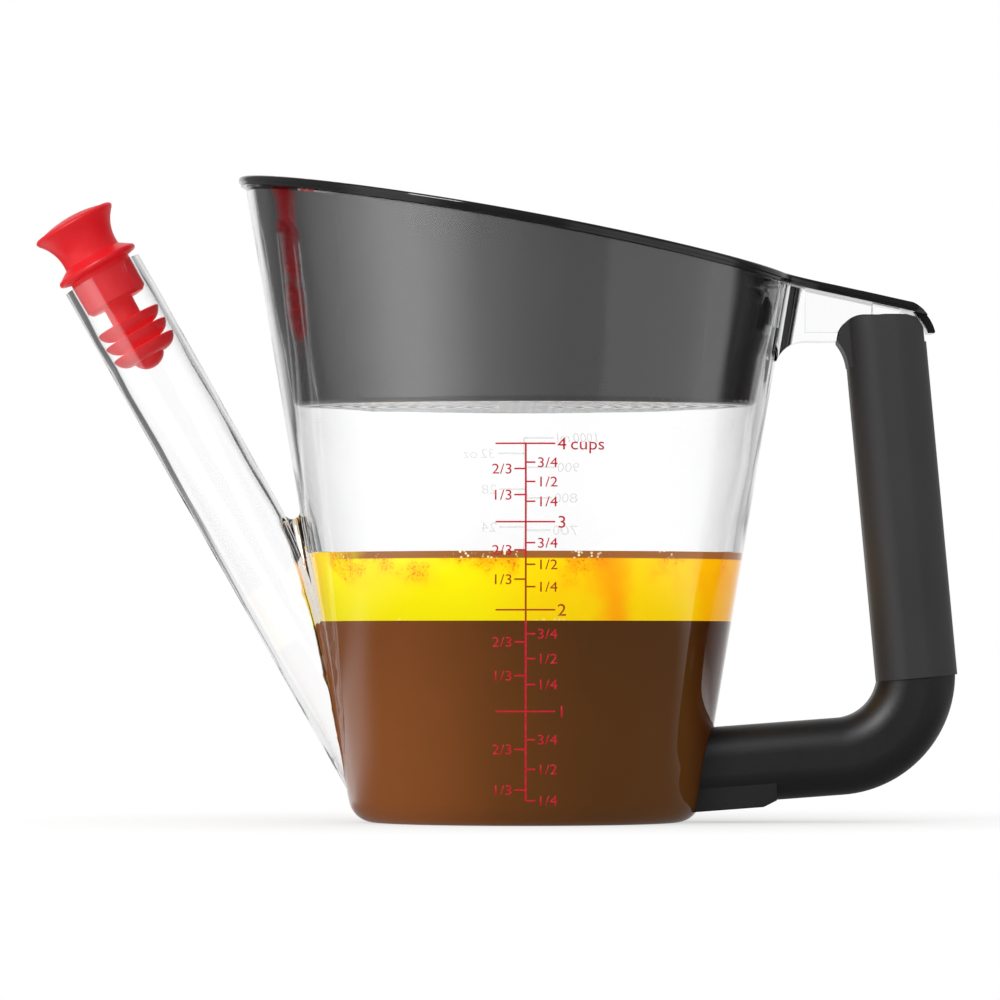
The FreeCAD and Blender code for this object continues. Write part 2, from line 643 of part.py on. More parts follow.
sketch = new_sketch(strainer, "nose_side", "XZ_Plane")
draw_outline(
    sketch,
    [
        nose_point("tab_nose", "0"),
        nose_point("tab_nose", f"90 deg - {TAB_SLOPE}"),
        (NOSE_TOP_X, CONE_TOP),
        (f"{TAB_END_X} + hook_thick", CONE_TOP),
        (f"{TAB_END_X} + hook_thick", NOSE_Z),
    ],
    {0: nose_point("tab_nose", f"(90 deg - {TAB_SLOPE}) / 2")},
)
extrude(strainer, "Pocket", "nose", sketch, "4 * tab_half", both=True)

# Drain holes: one in the middle, and rings of six more each time. A sixth of the rings is drawn.
sketch = new_sketch(strainer, "middle_hole", "XY_Plane", z="strainer_z")
draw_circles(sketch, [("0", "0")], "hole_r")
extrude(strainer, "Pocket", "middle_drain", sketch, "2 * strainer_floor", reverse=True)

sketch = new_sketch(strainer, "sixth_of_holes", "XY_Plane", z="strainer_z")
places = []
for ring in range(1, int(sheet.hole_rings) + 1):
    for step in range(ring):
        turned = 60 * step / ring
        away = f"{ring} * hole_pitch"
        across = f"{away} * sin({turned})" if step else "0"
        places.append((f"{away} * cos({turned})", across))
draw_circles(sketch, places, "hole_r")
drains = extrude(strainer, "Pocket", "drains", sketch, "2 * strainer_floor", reverse=True)
drains.Refine = False
all_drains = strainer.newObject("PartDesign::PolarPattern", "all_drains")
all_drains.Originals = [drains]
upright = next(item for item in strainer.Origin.OriginFeatures if item.Role == "Z_Axis")
all_drains.Axis = (upright, [""])
all_drains.Angle = 360
all_drains.Occurrences = 6
all_drains.Refine = False
strainer.Tip = all_drains

# ---------------------------------------------------------------- stopper
# A soft red plug: trumpet head, collar over the mouth, plug, and three fins on a neck. It is
# drawn upright with its origin in the mouth, and then leaned with the spout.

stopper = new_body("stopper")

sketch = new_sketch(stopper, "stopper_section", "XZ_Plane")
FIN_R = "(spout_bore_r - fin_gap)"
corners = [
    ("0", "cap_top + cap_crown"),
    ("cap_r - cap_edge", "cap_top"),
    ("cap_r", "cap_top - cap_edge / 2"),
    ("cap_r - cap_edge / 4", "cap_top - cap_edge"),
    ("waist_r", "waist_z"),
    ("collar_r - collar_thick / 4", "collar_top - collar_thick / 8"),
    ("collar_r - collar_thick / 4", "collar_top - 0.8 * collar_thick"),
    ("plug_r", "collar_top - collar_thick"),
    ("plug_r", "1 - plug_deep"),
    ("plug_r - 1", "-plug_deep"),
    ("neck_r", "-plug_deep"),
]
bows = {
    0: ("0.5 * (cap_r - cap_edge)", "cap_top + 0.75 * cap_crown"),
    1: ("cap_r - cap_edge / 4", "cap_top - cap_edge / 8"),
    3: ("waist_r + 0.9", "waist_z + 0.55 * (cap_top - waist_z)"),
    5: ("collar_r", "collar_top - collar_thick / 2"),
}
for fin in range(3):
    edge_z = f"-fin_deep - {fin} * fin_pitch"
    corners += [
        ("neck_r", f"{edge_z} - fin_tall + fin_wall"),
        (f"{FIN_R} - fin_edge", f"{edge_z}"),
        (FIN_R, f"{edge_z} - fin_edge / 2"),
        ("neck_r", f"{edge_z} - fin_tall"),
    ]
    inner = (f"0.42 * neck_r + 0.58 * {FIN_R}", f"{edge_z} - 0.50 * fin_tall")
    outer = (f"0.30 * neck_r + 0.70 * {FIN_R}", f"{edge_z} - 0.80 * fin_tall")
    bows[len(corners) - 4] = inner
    bows[len(corners) - 2] = outer
BULB_TURN = "(asin(neck_r / bulb_r) / 2)"
bows[len(corners)] = (
    f"bulb_r * sin({BULB_TURN})",
    f"bulb_r * (1 - cos({BULB_TURN})) - bulb_deep",
)
corners += [
    ("neck_r", "bulb_r - bulb_deep - sqrt(pow(bulb_r, 2) - pow(neck_r, 2))"),
    ("0", "-bulb_deep"),
]
draw_outline(sketch, corners, bows)
turn(stopper, "Revolution", "stopper_turned", sketch)
stopper.Placement = FreeCAD.Placement(
    FreeCAD.Vector(), FreeCAD.Rotation(FreeCAD.Vector(0, -1, 0), sheet.spout_lean)
)
stopper.setExpression("Placement.Base.x", bound(f"-{MOUTH_X}"))
stopper.setExpression("Placement.Base.z", bound(MOUTH_Z))
stopper.setExpression("Placement.Rotation.Angle", bound("spout_lean"))

# ---------------------------------------------------------------- handle frame
# A rigid bar from the cup's boss through arm and elbow to the post. The centre line is shared by
# the frame, the arm's shell and the cover.


def arm_line(body, name, height):
    """The handle's centre line, from a height on the grip's axis to inside the cup."""
    line = new_sketch(body, name, "XZ_Plane")
    lean = math.radians(sheet.grip_lean)
    rise = math.radians(sheet.arm_rise)
    down = FreeCAD.Vector(math.sin(lean), -math.cos(lean), 0)
    inward = FreeCAD.Vector(-math.cos(rise), -math.sin(rise), 0)
    start_x, start_z = grip_point(height)
    top = spot(line, start_x, start_z)
    end = spot(line, ARM_START_X, "arm_start_z")
    gap = end - top
    # Distance down the grip's axis to where the arm's line crosses it.
    run = (gap.x * inward.y - gap.y * inward.x) / (down.x * inward.y - down.y * inward.x)
    corner = top + down * run
    half_turn = down.getAngle(inward) / 2
    back = sheet.elbow_r * math.tan(half_turn)
    first = corner - down * back
    last = corner + inward * back
    inside = (inward - down).normalize()
    middle = corner + inside * (sheet.elbow_r / math.cos(half_turn) - sheet.elbow_r)
    upright = line.addGeometry(Part.LineSegment(top, first), False)
    elbow = line.addGeometry(Part.Arc(first, middle, last), False)
    level = line.addGeometry(Part.LineSegment(last, end), False)
    ahead = line.getPoint(elbow, 1).distanceToPoint(first) < 1e-6
    near, away = (1, 2) if ahead else (2, 1)
    held = [
        (Sketcher.Constraint("Tangent", upright, 2, elbow, near), None),
        (Sketcher.Constraint("Tangent", elbow, away, level, 1), None),
        (Sketcher.Constraint("Radius", elbow, sheet.elbow_r), "elbow_r"),
        (Sketcher.Constraint("Angle", upright, -math.pi / 2 + lean), "grip_lean - 90"),
        (Sketcher.Constraint("Angle", level, math.pi + rise), "180 + arm_rise"),
    ]
    held += pins(line, upright, 1, start_x, start_z)
    held += pins(line, level, 2, ARM_START_X, "arm_start_z")
    hold(line, held)
    return line


def pipe(body, kind, name, section, line):
    """An AdditivePipe or SubtractivePipe of a section along the handle's centre line."""
    feature = body.newObject("PartDesign::" + kind, name)
    feature.Profile = section
    feature.Spine = (line, ["Edge1", "Edge2", "Edge3"])
    body.Tip = feature
    return feature


def clear_of_cup(body, name):
    """Cuts the end of a piece to the cup's outside."""
    cut = new_sketch(body, name + "_section", "XZ_Plane")
    draw_cone(cut, "fit_gap", "-fit_gap", "cup_corner + fit_gap")
    turn(body, "Groove", name, cut)


handle_frame = new_body("handle_frame")

FRAME_TOP = f"({POST_END} - fit_gap)"
sketch = handle_sketch(handle_frame, "core_section", FRAME_TOP)
draw_rounded(sketch, CORE_HALF_X, CORE_HALF_Y, CORE_ROUND)
line = arm_line(handle_frame, "core_line", FRAME_TOP)
pipe(handle_frame, "AdditivePipe", "core", sketch, line)
clear_of_cup(handle_frame, "core_end")

# The foot laps under the boss.
sketch = new_sketch(handle_frame, "lap_side", "XZ_Plane")
draw_outline(
    sketch,
    [
        ("0.5 * cup_base_r", f"{LAP_Z} - fit_gap"),
        (f"{BOSS_END} + fit_gap", f"{LAP_Z} - fit_gap"),
        (f"{BOSS_END} + fit_gap", f"{LAP_Z} + grip_thick"),
        ("0.5 * cup_base_r", f"{LAP_Z} + grip_thick"),
    ],
)
extrude(handle_frame, "Pocket", "lap", sketch, "2 * grip_wide", both=True)

# The foot's two screw holes, each sunk from below for the head.
HEAD_Z = f"({LAP_Z} - screw_long / 2)"
sketch = new_sketch(handle_frame, "foot_holes", "XY_Plane")
draw_circles(sketch, SCREW_PLACES, SCREW_HOLE)
extrude(handle_frame, "Pocket", "foot_bores", sketch, LAP_Z, reverse=True)
sketch = new_sketch(handle_frame, "foot_heads", "XY_Plane", z=HEAD_Z)
draw_circles(sketch, SCREW_PLACES, "screw_head_r + fit_gap")
extrude(handle_frame, "Pocket", "foot_seats", sketch, HEAD_Z)

# The top takes the post's tongue, with one screw across it.
sketch = handle_sketch(handle_frame, "socket_section", FRAME_TOP)
draw_rounded(
    sketch,
    "tongue_thick / 2 + fit_gap",
    "tongue_wide / 2 + fit_gap",
    "tongue_thick / 4 + fit_gap",
)
extrude(handle_frame, "Pocket", "socket", sketch, "tongue_long + screw_r")
sketch = new_sketch(handle_frame, "cross_hole", "XZ_Plane")
draw_circles(sketch, [(CROSS_X, CROSS_Z)], SCREW_HOLE)
extrude(handle_frame, "Pocket", "cross_bore", sketch, "2 * screw_long", both=True)
CROSS_SEAT = f"({CORE_HALF_Y} - screw_head - fit_gap)"
sketch = new_sketch(handle_frame, "cross_head", "XZ_Plane", z=CROSS_SEAT)
draw_circles(sketch, [(CROSS_X, CROSS_Z)], "screw_head_r + fit_gap")
extrude(handle_frame, "Pocket", "cross_seat", sketch, "grip_wide", reverse=True)

# ---------------------------------------------------------------- arm shell
# The smooth black skin of elbow and arm: a bent tube around the frame, open to the cup.

arm_shell = new_body("arm_shell")

# The elbow begins to bend a little inside the grip, where the shell is cut off.
BEND_START = "(elbow_r / 4)"
sketch = handle_sketch(arm_shell, "shell_section", BEND_START)
draw_rounded(sketch, ARM_HALF_X, ARM_HALF_Y, ARM_ROUND)
pipe(arm_shell, "AdditivePipe", "shell", sketch, arm_line(arm_shell, "shell_line", BEND_START))

sketch = handle_sketch(arm_shell, "shell_bore_section", BEND_START)
draw_rounded(
    sketch, f"{CORE_HALF_X} + fit_gap", f"{CORE_HALF_Y} + fit_gap", f"{CORE_ROUND} + fit_gap"
)
line = arm_line(arm_shell, "shell_bore_line", BEND_START)
pipe(arm_shell, "SubtractivePipe", "shell_bore", sketch, line)
clear_of_cup(arm_shell, "shell_end")

sketch = handle_sketch(arm_shell, "parting_section", "0")
draw_rounded(sketch, "grip_thick", "grip_wide", "grip_round")
extrude(arm_shell, "Pocket", "parting", sketch, "elbow_r", reverse=True)

sketch = new_sketch(arm_shell, "hatch_plan", "XY_Plane", x=SCREW_X, z="arm_start_z")
draw_rounded(sketch, "hatch_long / 2", "hatch_wide / 2", "screw_r")
extrude(arm_shell, "Pocket", "hatch", sketch, "arm_start_z")

# ---------------------------------------------------------------- arm cover
# The stepped pad that closes the hatch. It follows the arm's underside and ends at the cup.

arm_cover = new_body("arm_cover")

COVER_END = "(cup_base_r + cover_long)"
RAMP_END = f"({COVER_END} + cover_ramp)"
COVER_DROP = f"({ARM_HALF_X} / cos(arm_rise) + cover_proud)"
COVER_SIDE = f"({ARM_HALF_X} - {ARM_ROUND})"


def arm_height(x, drop):
    """Height that lies drop below the arm's centre line at x."""
    return f"arm_start_z + (({x}) - {ARM_START_X}) * tan(arm_rise) - ({drop})"


sketch = new_sketch(arm_cover, "cover_side", "XZ_Plane")
draw_outline(
    sketch,
    [
        (ARM_START_X, arm_height(ARM_START_X, COVER_DROP)),
        (COVER_END, arm_height(COVER_END, COVER_DROP)),
        (RAMP_END, arm_height(RAMP_END, f"{COVER_DROP} - cover_proud")),
        (RAMP_END, arm_height(RAMP_END, COVER_SIDE)),
        (ARM_START_X, arm_height(ARM_START_X, COVER_SIDE)),
    ],
)
extrude(arm_cover, "Pad", "cover_pad", sketch, f"2 * ({ARM_HALF_Y} - cover_inset)", both=True)

sketch = handle_sketch(arm_cover, "cover_bed_section", BEND_START)
draw_rounded(sketch, f"{ARM_HALF_X} + fit_gap / 2", f"{ARM_HALF_Y} + fit_gap / 2", ARM_ROUND)
line = arm_line(arm_cover, "cover_bed_line", BEND_START)
pipe(arm_cover, "SubtractivePipe", "cover_bed", sketch, line)
clear_of_cup(arm_cover, "cover_end_cut")

PLUG_Z = f"({arm_height(SCREW_X, f'{ARM_HALF_X} + cover_proud / 2')})"
sketch = new_sketch(arm_cover, "plug_plan", "XY_Plane", x=SCREW_X, z=PLUG_Z)
draw_rounded(sketch, "hatch_long / 2 - fit_gap", "hatch_wide / 2 - fit_gap", "screw_r")
extrude(arm_cover, "Pad", "cover_plug", sketch, "cover_proud / 2 + 0.6 * grip_skin")

# ---------------------------------------------------------------- handle grip
# The soft sleeve. Its two cheeks stand up beside the bracket, and a small lip closes the corner
# under it.

handle_grip = new_body("handle_grip")

sketch = handle_sketch(handle_grip, "grip_section", "0")
draw_rounded(sketch, "grip_thick / 2", "grip_wide / 2", "grip_round")
extrude(handle_grip, "Pad", "sleeve", sketch, GRIP_LONG)


def grip_left(z):
    """Where the grip's side towards the cup stands at height z."""
    lean_in = f"(({z}) - parting_z) * tan(grip_lean)"
    return f"({PARTING_X} - {lean_in} - grip_thick / 2 / cos(grip_lean))"


# The lip swells out of the side towards the cup, up to a blunt tip beside the bracket.
LIP_FOOT = f"({BRACKET_Z} - cheek)"
LIP_X = f"({grip_left(BRACKET_Z)} - lip_out)"
sketch = new_sketch(handle_grip, "lip_side", "XZ_Plane")
draw_outline(
    sketch,
    [
        (grip_left(LIP_FOOT), LIP_FOOT),
        (LIP_X, f"{BRACKET_Z} - lip_out / 4"),
        (LIP_X, CONE_TOP),
        (f"{LIP_X} + grip_thick / 2", CONE_TOP),
        (f"{LIP_X} + grip_thick / 2", LIP_FOOT),
    ],
    {0: (f"{LIP_X} + 0.78 * lip_out", f"{BRACKET_Z} - 0.45 * cheek")},
)
extrude(handle_grip, "Pad", "lip", sketch, "grip_wide - grip_round", both=True)

# The arch rounds the lip into the top, which is level as far as the tab's slope.
ARCH_NICK = "(grip_arch * (1 - cos(45)))"
sketch = new_sketch(handle_grip, "arch_side", "XZ_Plane")
draw_outline(
    sketch,
    [
        (LIP_X, f"{GRIP_TOP_Z} - grip_arch"),
        (f"{LIP_X} + grip_arch", GRIP_TOP_Z),
        (LINE_RIGHT, GRIP_TOP_Z),
        (LINE_RIGHT, FAR),
        (f"{LIP_X} - lip_out", FAR),
        (f"{LIP_X} - lip_out", f"{GRIP_TOP_Z} - grip_arch"),
    ],
    {0: (f"{LIP_X} + {ARCH_NICK}", f"{GRIP_TOP_Z} - {ARCH_NICK}")},
)
extrude(handle_grip, "Pocket", "arch", sketch, "2 * grip_wide", both=True)

# The far corner rounds with the tab's nose over it.
CORNER_R = f"({grip_left(NOSE_Z)} + grip_thick / cos(grip_lean) - {NOSE_X})"
sketch = new_sketch(handle_grip, "corner_side", "XZ_Plane")
draw_outline(
    sketch,
    [
        nose_point(CORNER_R, "0"),
        nose_point(CORNER_R, "90"),
        (NOSE_X, FAR),
        (f"{LINE_RIGHT} + grip_thick", FAR),
        (f"{LINE_RIGHT} + grip_thick", NOSE_Z),
    ],
    {0: nose_point(CORNER_R, "45")},
)
extrude(handle_grip, "Pocket", "corner", sketch, "2 * grip_wide", both=True)

sketch = new_sketch(handle_grip, "grip_top_line", "XZ_Plane")
draw_above(sketch, "lip_thick + seat_gap + bracket_skin / 2")
extrude(handle_grip, "Pocket", "grip_top", sketch, "2 * grip_wide", both=True)

sketch = handle_sketch(handle_grip, "sleeve_bore_section", "0")
draw_rounded(
    sketch, f"{CORE_HALF_X} + fit_gap", f"{CORE_HALF_Y} + fit_gap", f"{CORE_ROUND} + fit_gap"
)
BORE_LONG = f"({CHEEK_START} + {CORE_HALF_X} * tan(grip_lean) + fit_gap)"
extrude(handle_grip, "Pocket", "sleeve_bore", sketch, BORE_LONG, reverse=True)

# The frame begins to bend a little above the sleeve's lower end, so the bore is eased there.
sketch = handle_sketch(handle_grip, "sleeve_ease_section", "0")
draw_rounded(
    sketch,
    f"{CORE_HALF_X} + 3 * fit_gap",
    f"{CORE_HALF_Y} + 3 * fit_gap",
    f"{CORE_ROUND} + 3 * fit_gap",
)
extrude(handle_grip, "Pocket", "sleeve_ease", sketch, BEND_START, reverse=True)

sketch = new_sketch(handle_grip, "slot_side", "XZ_Plane")
draw_outline(
    sketch,
    [
        ("cup_base_r", f"{BRACKET_Z} - fit_gap"),
        (LINE_RIGHT, f"{BRACKET_Z} - fit_gap"),
        (LINE_RIGHT, FAR),
        ("cup_base_r", FAR),
    ],
)
extrude(handle_grip, "Pocket", "bracket_slot", sketch, "bracket_wide + 2 * fit_gap", both=True)

# ---------------------------------------------------------------- screws


def screw(name, x, y, z, axis, angle):
    """A self-tapping screw, its head's underside at x, y, z; upright before it is turned."""
    head = doc.addObject("Part::Cylinder", name + "_head")
    head.setExpression("Radius", bound("screw_head_r"))
    head.setExpression("Height", bound("screw_head"))
    head.setExpression("Placement.Base.z", bound("-screw_head"))
    shank = doc.addObject("Part::Cylinder", name + "_shank")
    shank.setExpression("Radius", bound("screw_r"))
    shank.setExpression("Height", bound("screw_long"))
    whole = doc.addObject("Part::MultiFuse", name)
    whole.Shapes = [head, shank]
    whole.Placement = FreeCAD.Placement(FreeCAD.Vector(), FreeCAD.Rotation(axis, angle))
    whole.setExpression("Placement.Base.x", bound(x))
    whole.setExpression("Placement.Base.y", bound(y))
    whole.setExpression("Placement.Base.z", bound(z))
    return whole


upright = FreeCAD.Vector(0, 0, 1)
arm_screws = doc.addObject("Part::Compound", "arm_screws")
arm_screws.Label = "arm_screws"
arm_screws.Links = [
    screw(f"arm_screw_{number}", x, y, HEAD_Z, upright, 0)
    for number, (x, y) in enumerate(SCREW_PLACES, start=1)
]
post_screw = screw(
    "post_screw", CROSS_X, f"-({CROSS_SEAT})", CROSS_Z, FreeCAD.Vector(1, 0, 0), -90
)
post_screw.Label = "post_screw"

# ---------------------------------------------------------------- checks and files

PARTS = [
    cup,
    strainer,
    stopper,
    handle_frame,
    handle_grip,
    arm_shell,
    arm_cover,
    arm_screws,
    post_screw,
]

doc.recompute()
for item in doc.Objects:
    if "Invalid" in item.State or "Error" in item.State:
        raise RuntimeError(f"{item.Label} failed: {item.State}")
for part in PARTS:
    if part.Shape.isNull() or not part.Shape.isValid():
        raise RuntimeError(f"{part.Label} has no valid shape")

os.makedirs("parts", exist_ok=True)
for part in PARTS:
    part.Shape.exportStep(os.path.join("parts", part.Label + ".step"))
    print(part.Label, len(part.Shape.Solids), "solids", round(part.Shape.Volume), "mm3")
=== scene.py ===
import math

import bmesh
import bpy
from mathutils import Matrix, Vector


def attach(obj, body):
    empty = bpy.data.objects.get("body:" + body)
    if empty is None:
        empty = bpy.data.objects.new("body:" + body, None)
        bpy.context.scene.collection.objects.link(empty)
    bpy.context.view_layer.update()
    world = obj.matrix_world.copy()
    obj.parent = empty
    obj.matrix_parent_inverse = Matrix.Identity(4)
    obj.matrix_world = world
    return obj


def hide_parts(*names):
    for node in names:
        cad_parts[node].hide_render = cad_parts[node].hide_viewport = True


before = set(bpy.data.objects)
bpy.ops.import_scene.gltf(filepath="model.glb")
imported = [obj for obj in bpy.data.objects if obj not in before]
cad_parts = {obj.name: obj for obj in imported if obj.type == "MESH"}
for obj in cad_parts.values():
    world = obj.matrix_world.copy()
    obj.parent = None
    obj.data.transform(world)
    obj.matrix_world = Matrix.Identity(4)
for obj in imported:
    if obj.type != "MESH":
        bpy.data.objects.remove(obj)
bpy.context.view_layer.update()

# ---------------------------------------------------------------- camera
# The separator is seen level from its front, from 2.1 m away, with the spout at the left and
# the handle at the right. The view takes in 0.27 m at the cup's axis. Metres, as everywhere.

VIEW_WIDE = 0.2675
EYE = Vector((-0.0067, -2.1, 0.054))
AIM = Vector((-0.0067, 0.0, 0.0861))

camera_data = bpy.data.cameras.new("camera")
camera_data.lens = camera_data.sensor_width * (AIM - EYE).length / VIEW_WIDE
camera = bpy.data.objects.new("camera", camera_data)
camera.location = EYE
camera.rotation_euler = (AIM - EYE).to_track_quat("-Z", "Y").to_euler()
bpy.context.scene.collection.objects.link(camera)
bpy.context.scene.camera = camera
bpy.context.scene.view_settings.view_transform = "Standard"

# ---------------------------------------------------------------- table and studio
# A white table that runs on into a white room, a large soft lamp at the front left, a weaker
# one at the right and a small one for highlights. Gloss sees the room's bright and dark screens.


class Wire:
    """A value on its way through a finish. Sums and products of wires add Math nodes."""

    def __init__(self, finish, socket):
        self.finish = finish
        self.socket = socket

    def reckon(self, operation, *values):
        sockets = dict(enumerate(values))
        return self.finish.add("Math", {"operation": operation}, sockets)["Value"]

    def __add__(self, other):
        return self.reckon("ADD", self, other)

    def __radd__(self, other):
        return self.reckon("ADD", other, self)

    def __sub__(self, other):
        return self.reckon("SUBTRACT", self, other)

    def __rsub__(self, other):
        return self.reckon("SUBTRACT", other, self)

    def __mul__(self, other):
        return self.reckon("MULTIPLY", self, other)

    def __rmul__(self, other):
        return self.reckon("MULTIPLY", other, self)

    def __truediv__(self, other):
        return self.reckon("DIVIDE", self, other)


class Finish:
    """The nodes of one material, or of the room."""

    def __init__(self, owner):
        owner.use_nodes = True
        self.nodes = owner.node_tree.nodes
        self.links = owner.node_tree.links
        self.nodes.clear()

    def add(self, kind, settings=None, sockets=None):
        """A node: its settings, a ramp's stops among them, then its sockets; gives its outputs."""
        node = self.nodes.new("ShaderNode" + kind)
        for name, value in (settings or {}).items():
            if name == "stops":
                self.fill_ramp(node.color_ramp, value)
            else:
                setattr(node, name, value)
        named = {socket.name: socket for socket in node.inputs if socket.enabled}
        for name, value in (sockets or {}).items():
            socket = node.inputs[name] if isinstance(name, int) else named[name]
            if isinstance(value, Wire):
                self.links.new(value.socket, socket)
            else:
                socket.default_value = value
        return {socket.name: Wire(self, socket) for socket in node.outputs if socket.enabled}

    def fill_ramp(self, ramp, stops):
        """Stops as pairs of place and colour; a single number is a grey."""
        for index, (place, colour) in enumerate(stops):
            stop = ramp.elements[index] if index < 2 else ramp.elements.new(place)
            stop.position = place
            stop.color = colour if isinstance(colour, tuple) else (colour, colour, colour, 1)

    def blend(self, share, first, second):
        """From the first colour to the second by a share from 0 to 1."""
        sockets = {"Factor": share, "A": first, "B": second}
        return self.add("Mix", {"data_type": "RGBA"}, sockets)["Result"]

    def between(self, value, low, high, start=0.0, end=1.0):
        """A smooth step from start, below low, to end, above high."""
        sockets = {"Value": value, "From Min": low, "From Max": high, "To Min": start, "To Max": end}
        return self.add("MapRange", {"interpolation_type": "SMOOTHSTEP"}, sockets)["Result"]

    def close(self, surface, volume=None):
        """Sends a shader to the output."""
        sockets = {"Surface": surface}
        if volume:
            sockets["Volume"] = volume
        self.add("OutputMaterial", {}, sockets)


# What gloss sees round the table: the brightness of the screens at each angle, in degrees from
# straight ahead of the cup, with the spout's side negative. First the screens that lie low, then
# those above the table, where the room in front is dark.
LOW_SCREENS = [
    (-180, 0.95),
    (-160, 0.90),
    (-152, 0.15),
    (-122, 0.15),
    (-108, 0.35),
    (-84, 1.05),
    (-60, 2.05),
    (-48, 2.20),
    (-36, 1.85),
    (-20, 1.10),
    (0, 0.76),
    (18, 0.63),
    (34, 0.63),
    (36, 0.84),
    (76, 0.82),
    (88, 0.92),
    (101, 0.76),
    (106, 0.10),
    (118, 0.10),
    (128, 0.30),
    (150, 0.55),
    (165, 0.90),
    (180, 0.95),
]
HIGH_SCREENS = [
    (-180, 0.95),
    (-160, 0.90),
    (-152, 0.22),
    (-80, 0.20),
    (-66, 0.90),
    (-40, 0.90),
    (-28, 0.10),
    (100, 0.10),
    (128, 0.30),
    (150, 0.55),
    (165, 0.90),
    (180, 0.95),
]
TURN = 2 * math.pi
TABLE_HALF = 7.0

table_mesh = bpy.data.meshes.new("table")
table_form = bmesh.new()
bmesh.ops.create_grid(table_form, x_segments=1, y_segments=1, size=TABLE_HALF)
table_form.to_mesh(table_mesh)
table_form.free()
table = bpy.data.objects.new("table", table_mesh)
bpy.context.scene.collection.objects.link(table)


def screens_round(finish, place, screens):
    """The brightness of some screens in the direction of a place seen from the cup's axis."""
    axes = finish.add("SeparateXYZ", {}, {"Vector": place})
    angle = axes["X"].reckon("ARCTAN2", axes["X"], 0 - axes["Y"]) / TURN + 0.5
    stops = [(degrees / 360 + 0.5, bright) for degrees, bright in screens]
    return finish.add("ValToRGB", {"stops": stops}, {"Fac": angle})["Color"]


def ray_shares(finish):
    """How a ray looks: straight or through clear plastic only, mirrored on its way, or neither."""
    path = finish.add("LightPath")
    undisturbed = 1 - path["Is Diffuse Ray"]
    mirror = path["Glossy Depth"].reckon("MINIMUM", path["Glossy Depth"], 1.0) * undisturbed
    through = path["Is Transmission Ray"] * (1 - mirror)
    return path["Is Camera Ray"], through, mirror


# Seen straight, the table glows white, a little greyer near the cup, where it also takes some light
# from the lamps, and with a painted shadow round and under the cup. Through clear plastic it is
# brighter than white.
BACKLIT = 1.13
NEAR_GLOW = 0.87
NEAR_LIT = 0.30
NEAR_END = 0.22
FAR_START = 0.42
UNDER = 0.34
UNDER_REACH = 0.13

# In gloss, the table near the cup is dark in front of it and light behind it, and further out it
# carries the low screens, which darken at its front.
FRONT_TONE = 0.14
BACK_TONE = 0.90
SCREENS_DARKEN = 0.12

table_paint = bpy.data.materials.new("table_paint")
paint = Finish(table_paint)
straight, through, mirror = ray_shares(paint)
spot = paint.add("TexCoord")["Object"]
away = paint.add("VectorMath", {"operation": "LENGTH"}, {0: spot})["Value"]
far = paint.between(away, NEAR_END, FAR_START)
# Painted shadow: the table's glow is dimmed where the cup and its parts crowd above it.
open_sky = paint.add("AmbientOcclusion", {"samples": 8}, {"Distance": UNDER_REACH})["AO"]
shade = 1 - UNDER * (1 - open_sky)
glow = straight * (NEAR_GLOW + far * (1 - NEAR_GLOW)) * shade + through * BACKLIT
shine = paint.add("Emission", {}, {"Color": (1, 1, 1, 1), "Strength": glow})["Emission"]
body = paint.add("BsdfDiffuse", {}, {"Color": (0.86, 0.86, 0.86, 1)})["BSDF"]
dark = paint.add("BsdfDiffuse", {}, {"Color": (0, 0, 0, 1)})["BSDF"]
lit_share = straight * (1 - far) * NEAR_LIT + (1 - straight) * (1 - through)
weak = paint.add("MixShader", {}, {0: lit_share, 1: dark, 2: body})["Shader"]
plain = paint.add("AddShader", {}, {0: weak, 1: shine})["Shader"]
depth = paint.add("SeparateXYZ", {}, {"Vector": spot})["Y"]
near_tone = paint.between(depth, -0.02, 0.06, FRONT_TONE, BACK_TONE)
near = paint.between(away, 0.25, 0.36, 1.0, 0.0)
low = screens_round(paint, spot, LOW_SCREENS)
low = low * paint.between(depth, -0.76, -0.62, SCREENS_DARKEN, 1.0)
screen = {"Color": (1, 1, 1, 1), "Strength": near * near_tone + (1 - near) * low}
mirrored = paint.add("Emission", {}, screen)["Emission"]
paint.close(paint.add("MixShader", {}, {0: mirror, 1: plain, 2: mirrored})["Shader"])
table_mesh.materials.append(table_paint)

# The room lights the object evenly. Behind clear plastic it has a grey card at each flank, in
# gloss its ceiling is darker, and the high screens begin a little higher at the right.
AMBIENT = 0.5
FLANK_TURN = math.radians(118)
FLANK_TONE = 0.38
CEILING_TONE = 0.40
RIGHT_RISE = 0.16
room = bpy.data.worlds.new("room")
bpy.context.scene.world = room
air = Finish(room)
straight, through, mirror = ray_shares(air)
aim = air.add("TexCoord")["Generated"]
height = air.add("SeparateXYZ", {}, {"Vector": aim})["Z"]
ceiling = air.between(height, 0.60, 0.85, 1.0, CEILING_TONE)
flanks = 1.0
for side in (-1, 1):
    card = (side * math.sin(FLANK_TURN), -math.cos(FLANK_TURN), 0)
    toward = air.add("VectorMath", {"operation": "DOT_PRODUCT"}, {0: aim, 1: card})["Value"]
    flanks = flanks * air.between(toward, 0.93, 0.985, 1.0, FLANK_TONE)
glow = straight + through * flanks * BACKLIT + (1 - straight) * (1 - through) * AMBIENT
glow = glow * (1 - mirror)
plain = air.add("Background", {}, {"Color": (1, 1, 1, 1), "Strength": glow})["Background"]
low = screens_round(air, aim, LOW_SCREENS)
high = screens_round(air, aim, HIGH_SCREENS)
right = air.between(air.add("SeparateXYZ", {}, {"Vector": aim})["X"], 0.25, 0.45)
above = air.between(height - RIGHT_RISE * right, -0.10, 0.02)
screen = (low * (1 - above) + high * above) * mirror * ceiling
screen = {"Color": (1, 1, 1, 1), "Strength": screen}
mirrored = air.add("Background", {}, screen)["Background"]
both = air.add("AddShader", {}, {0: plain, 1: mirrored})["Shader"]
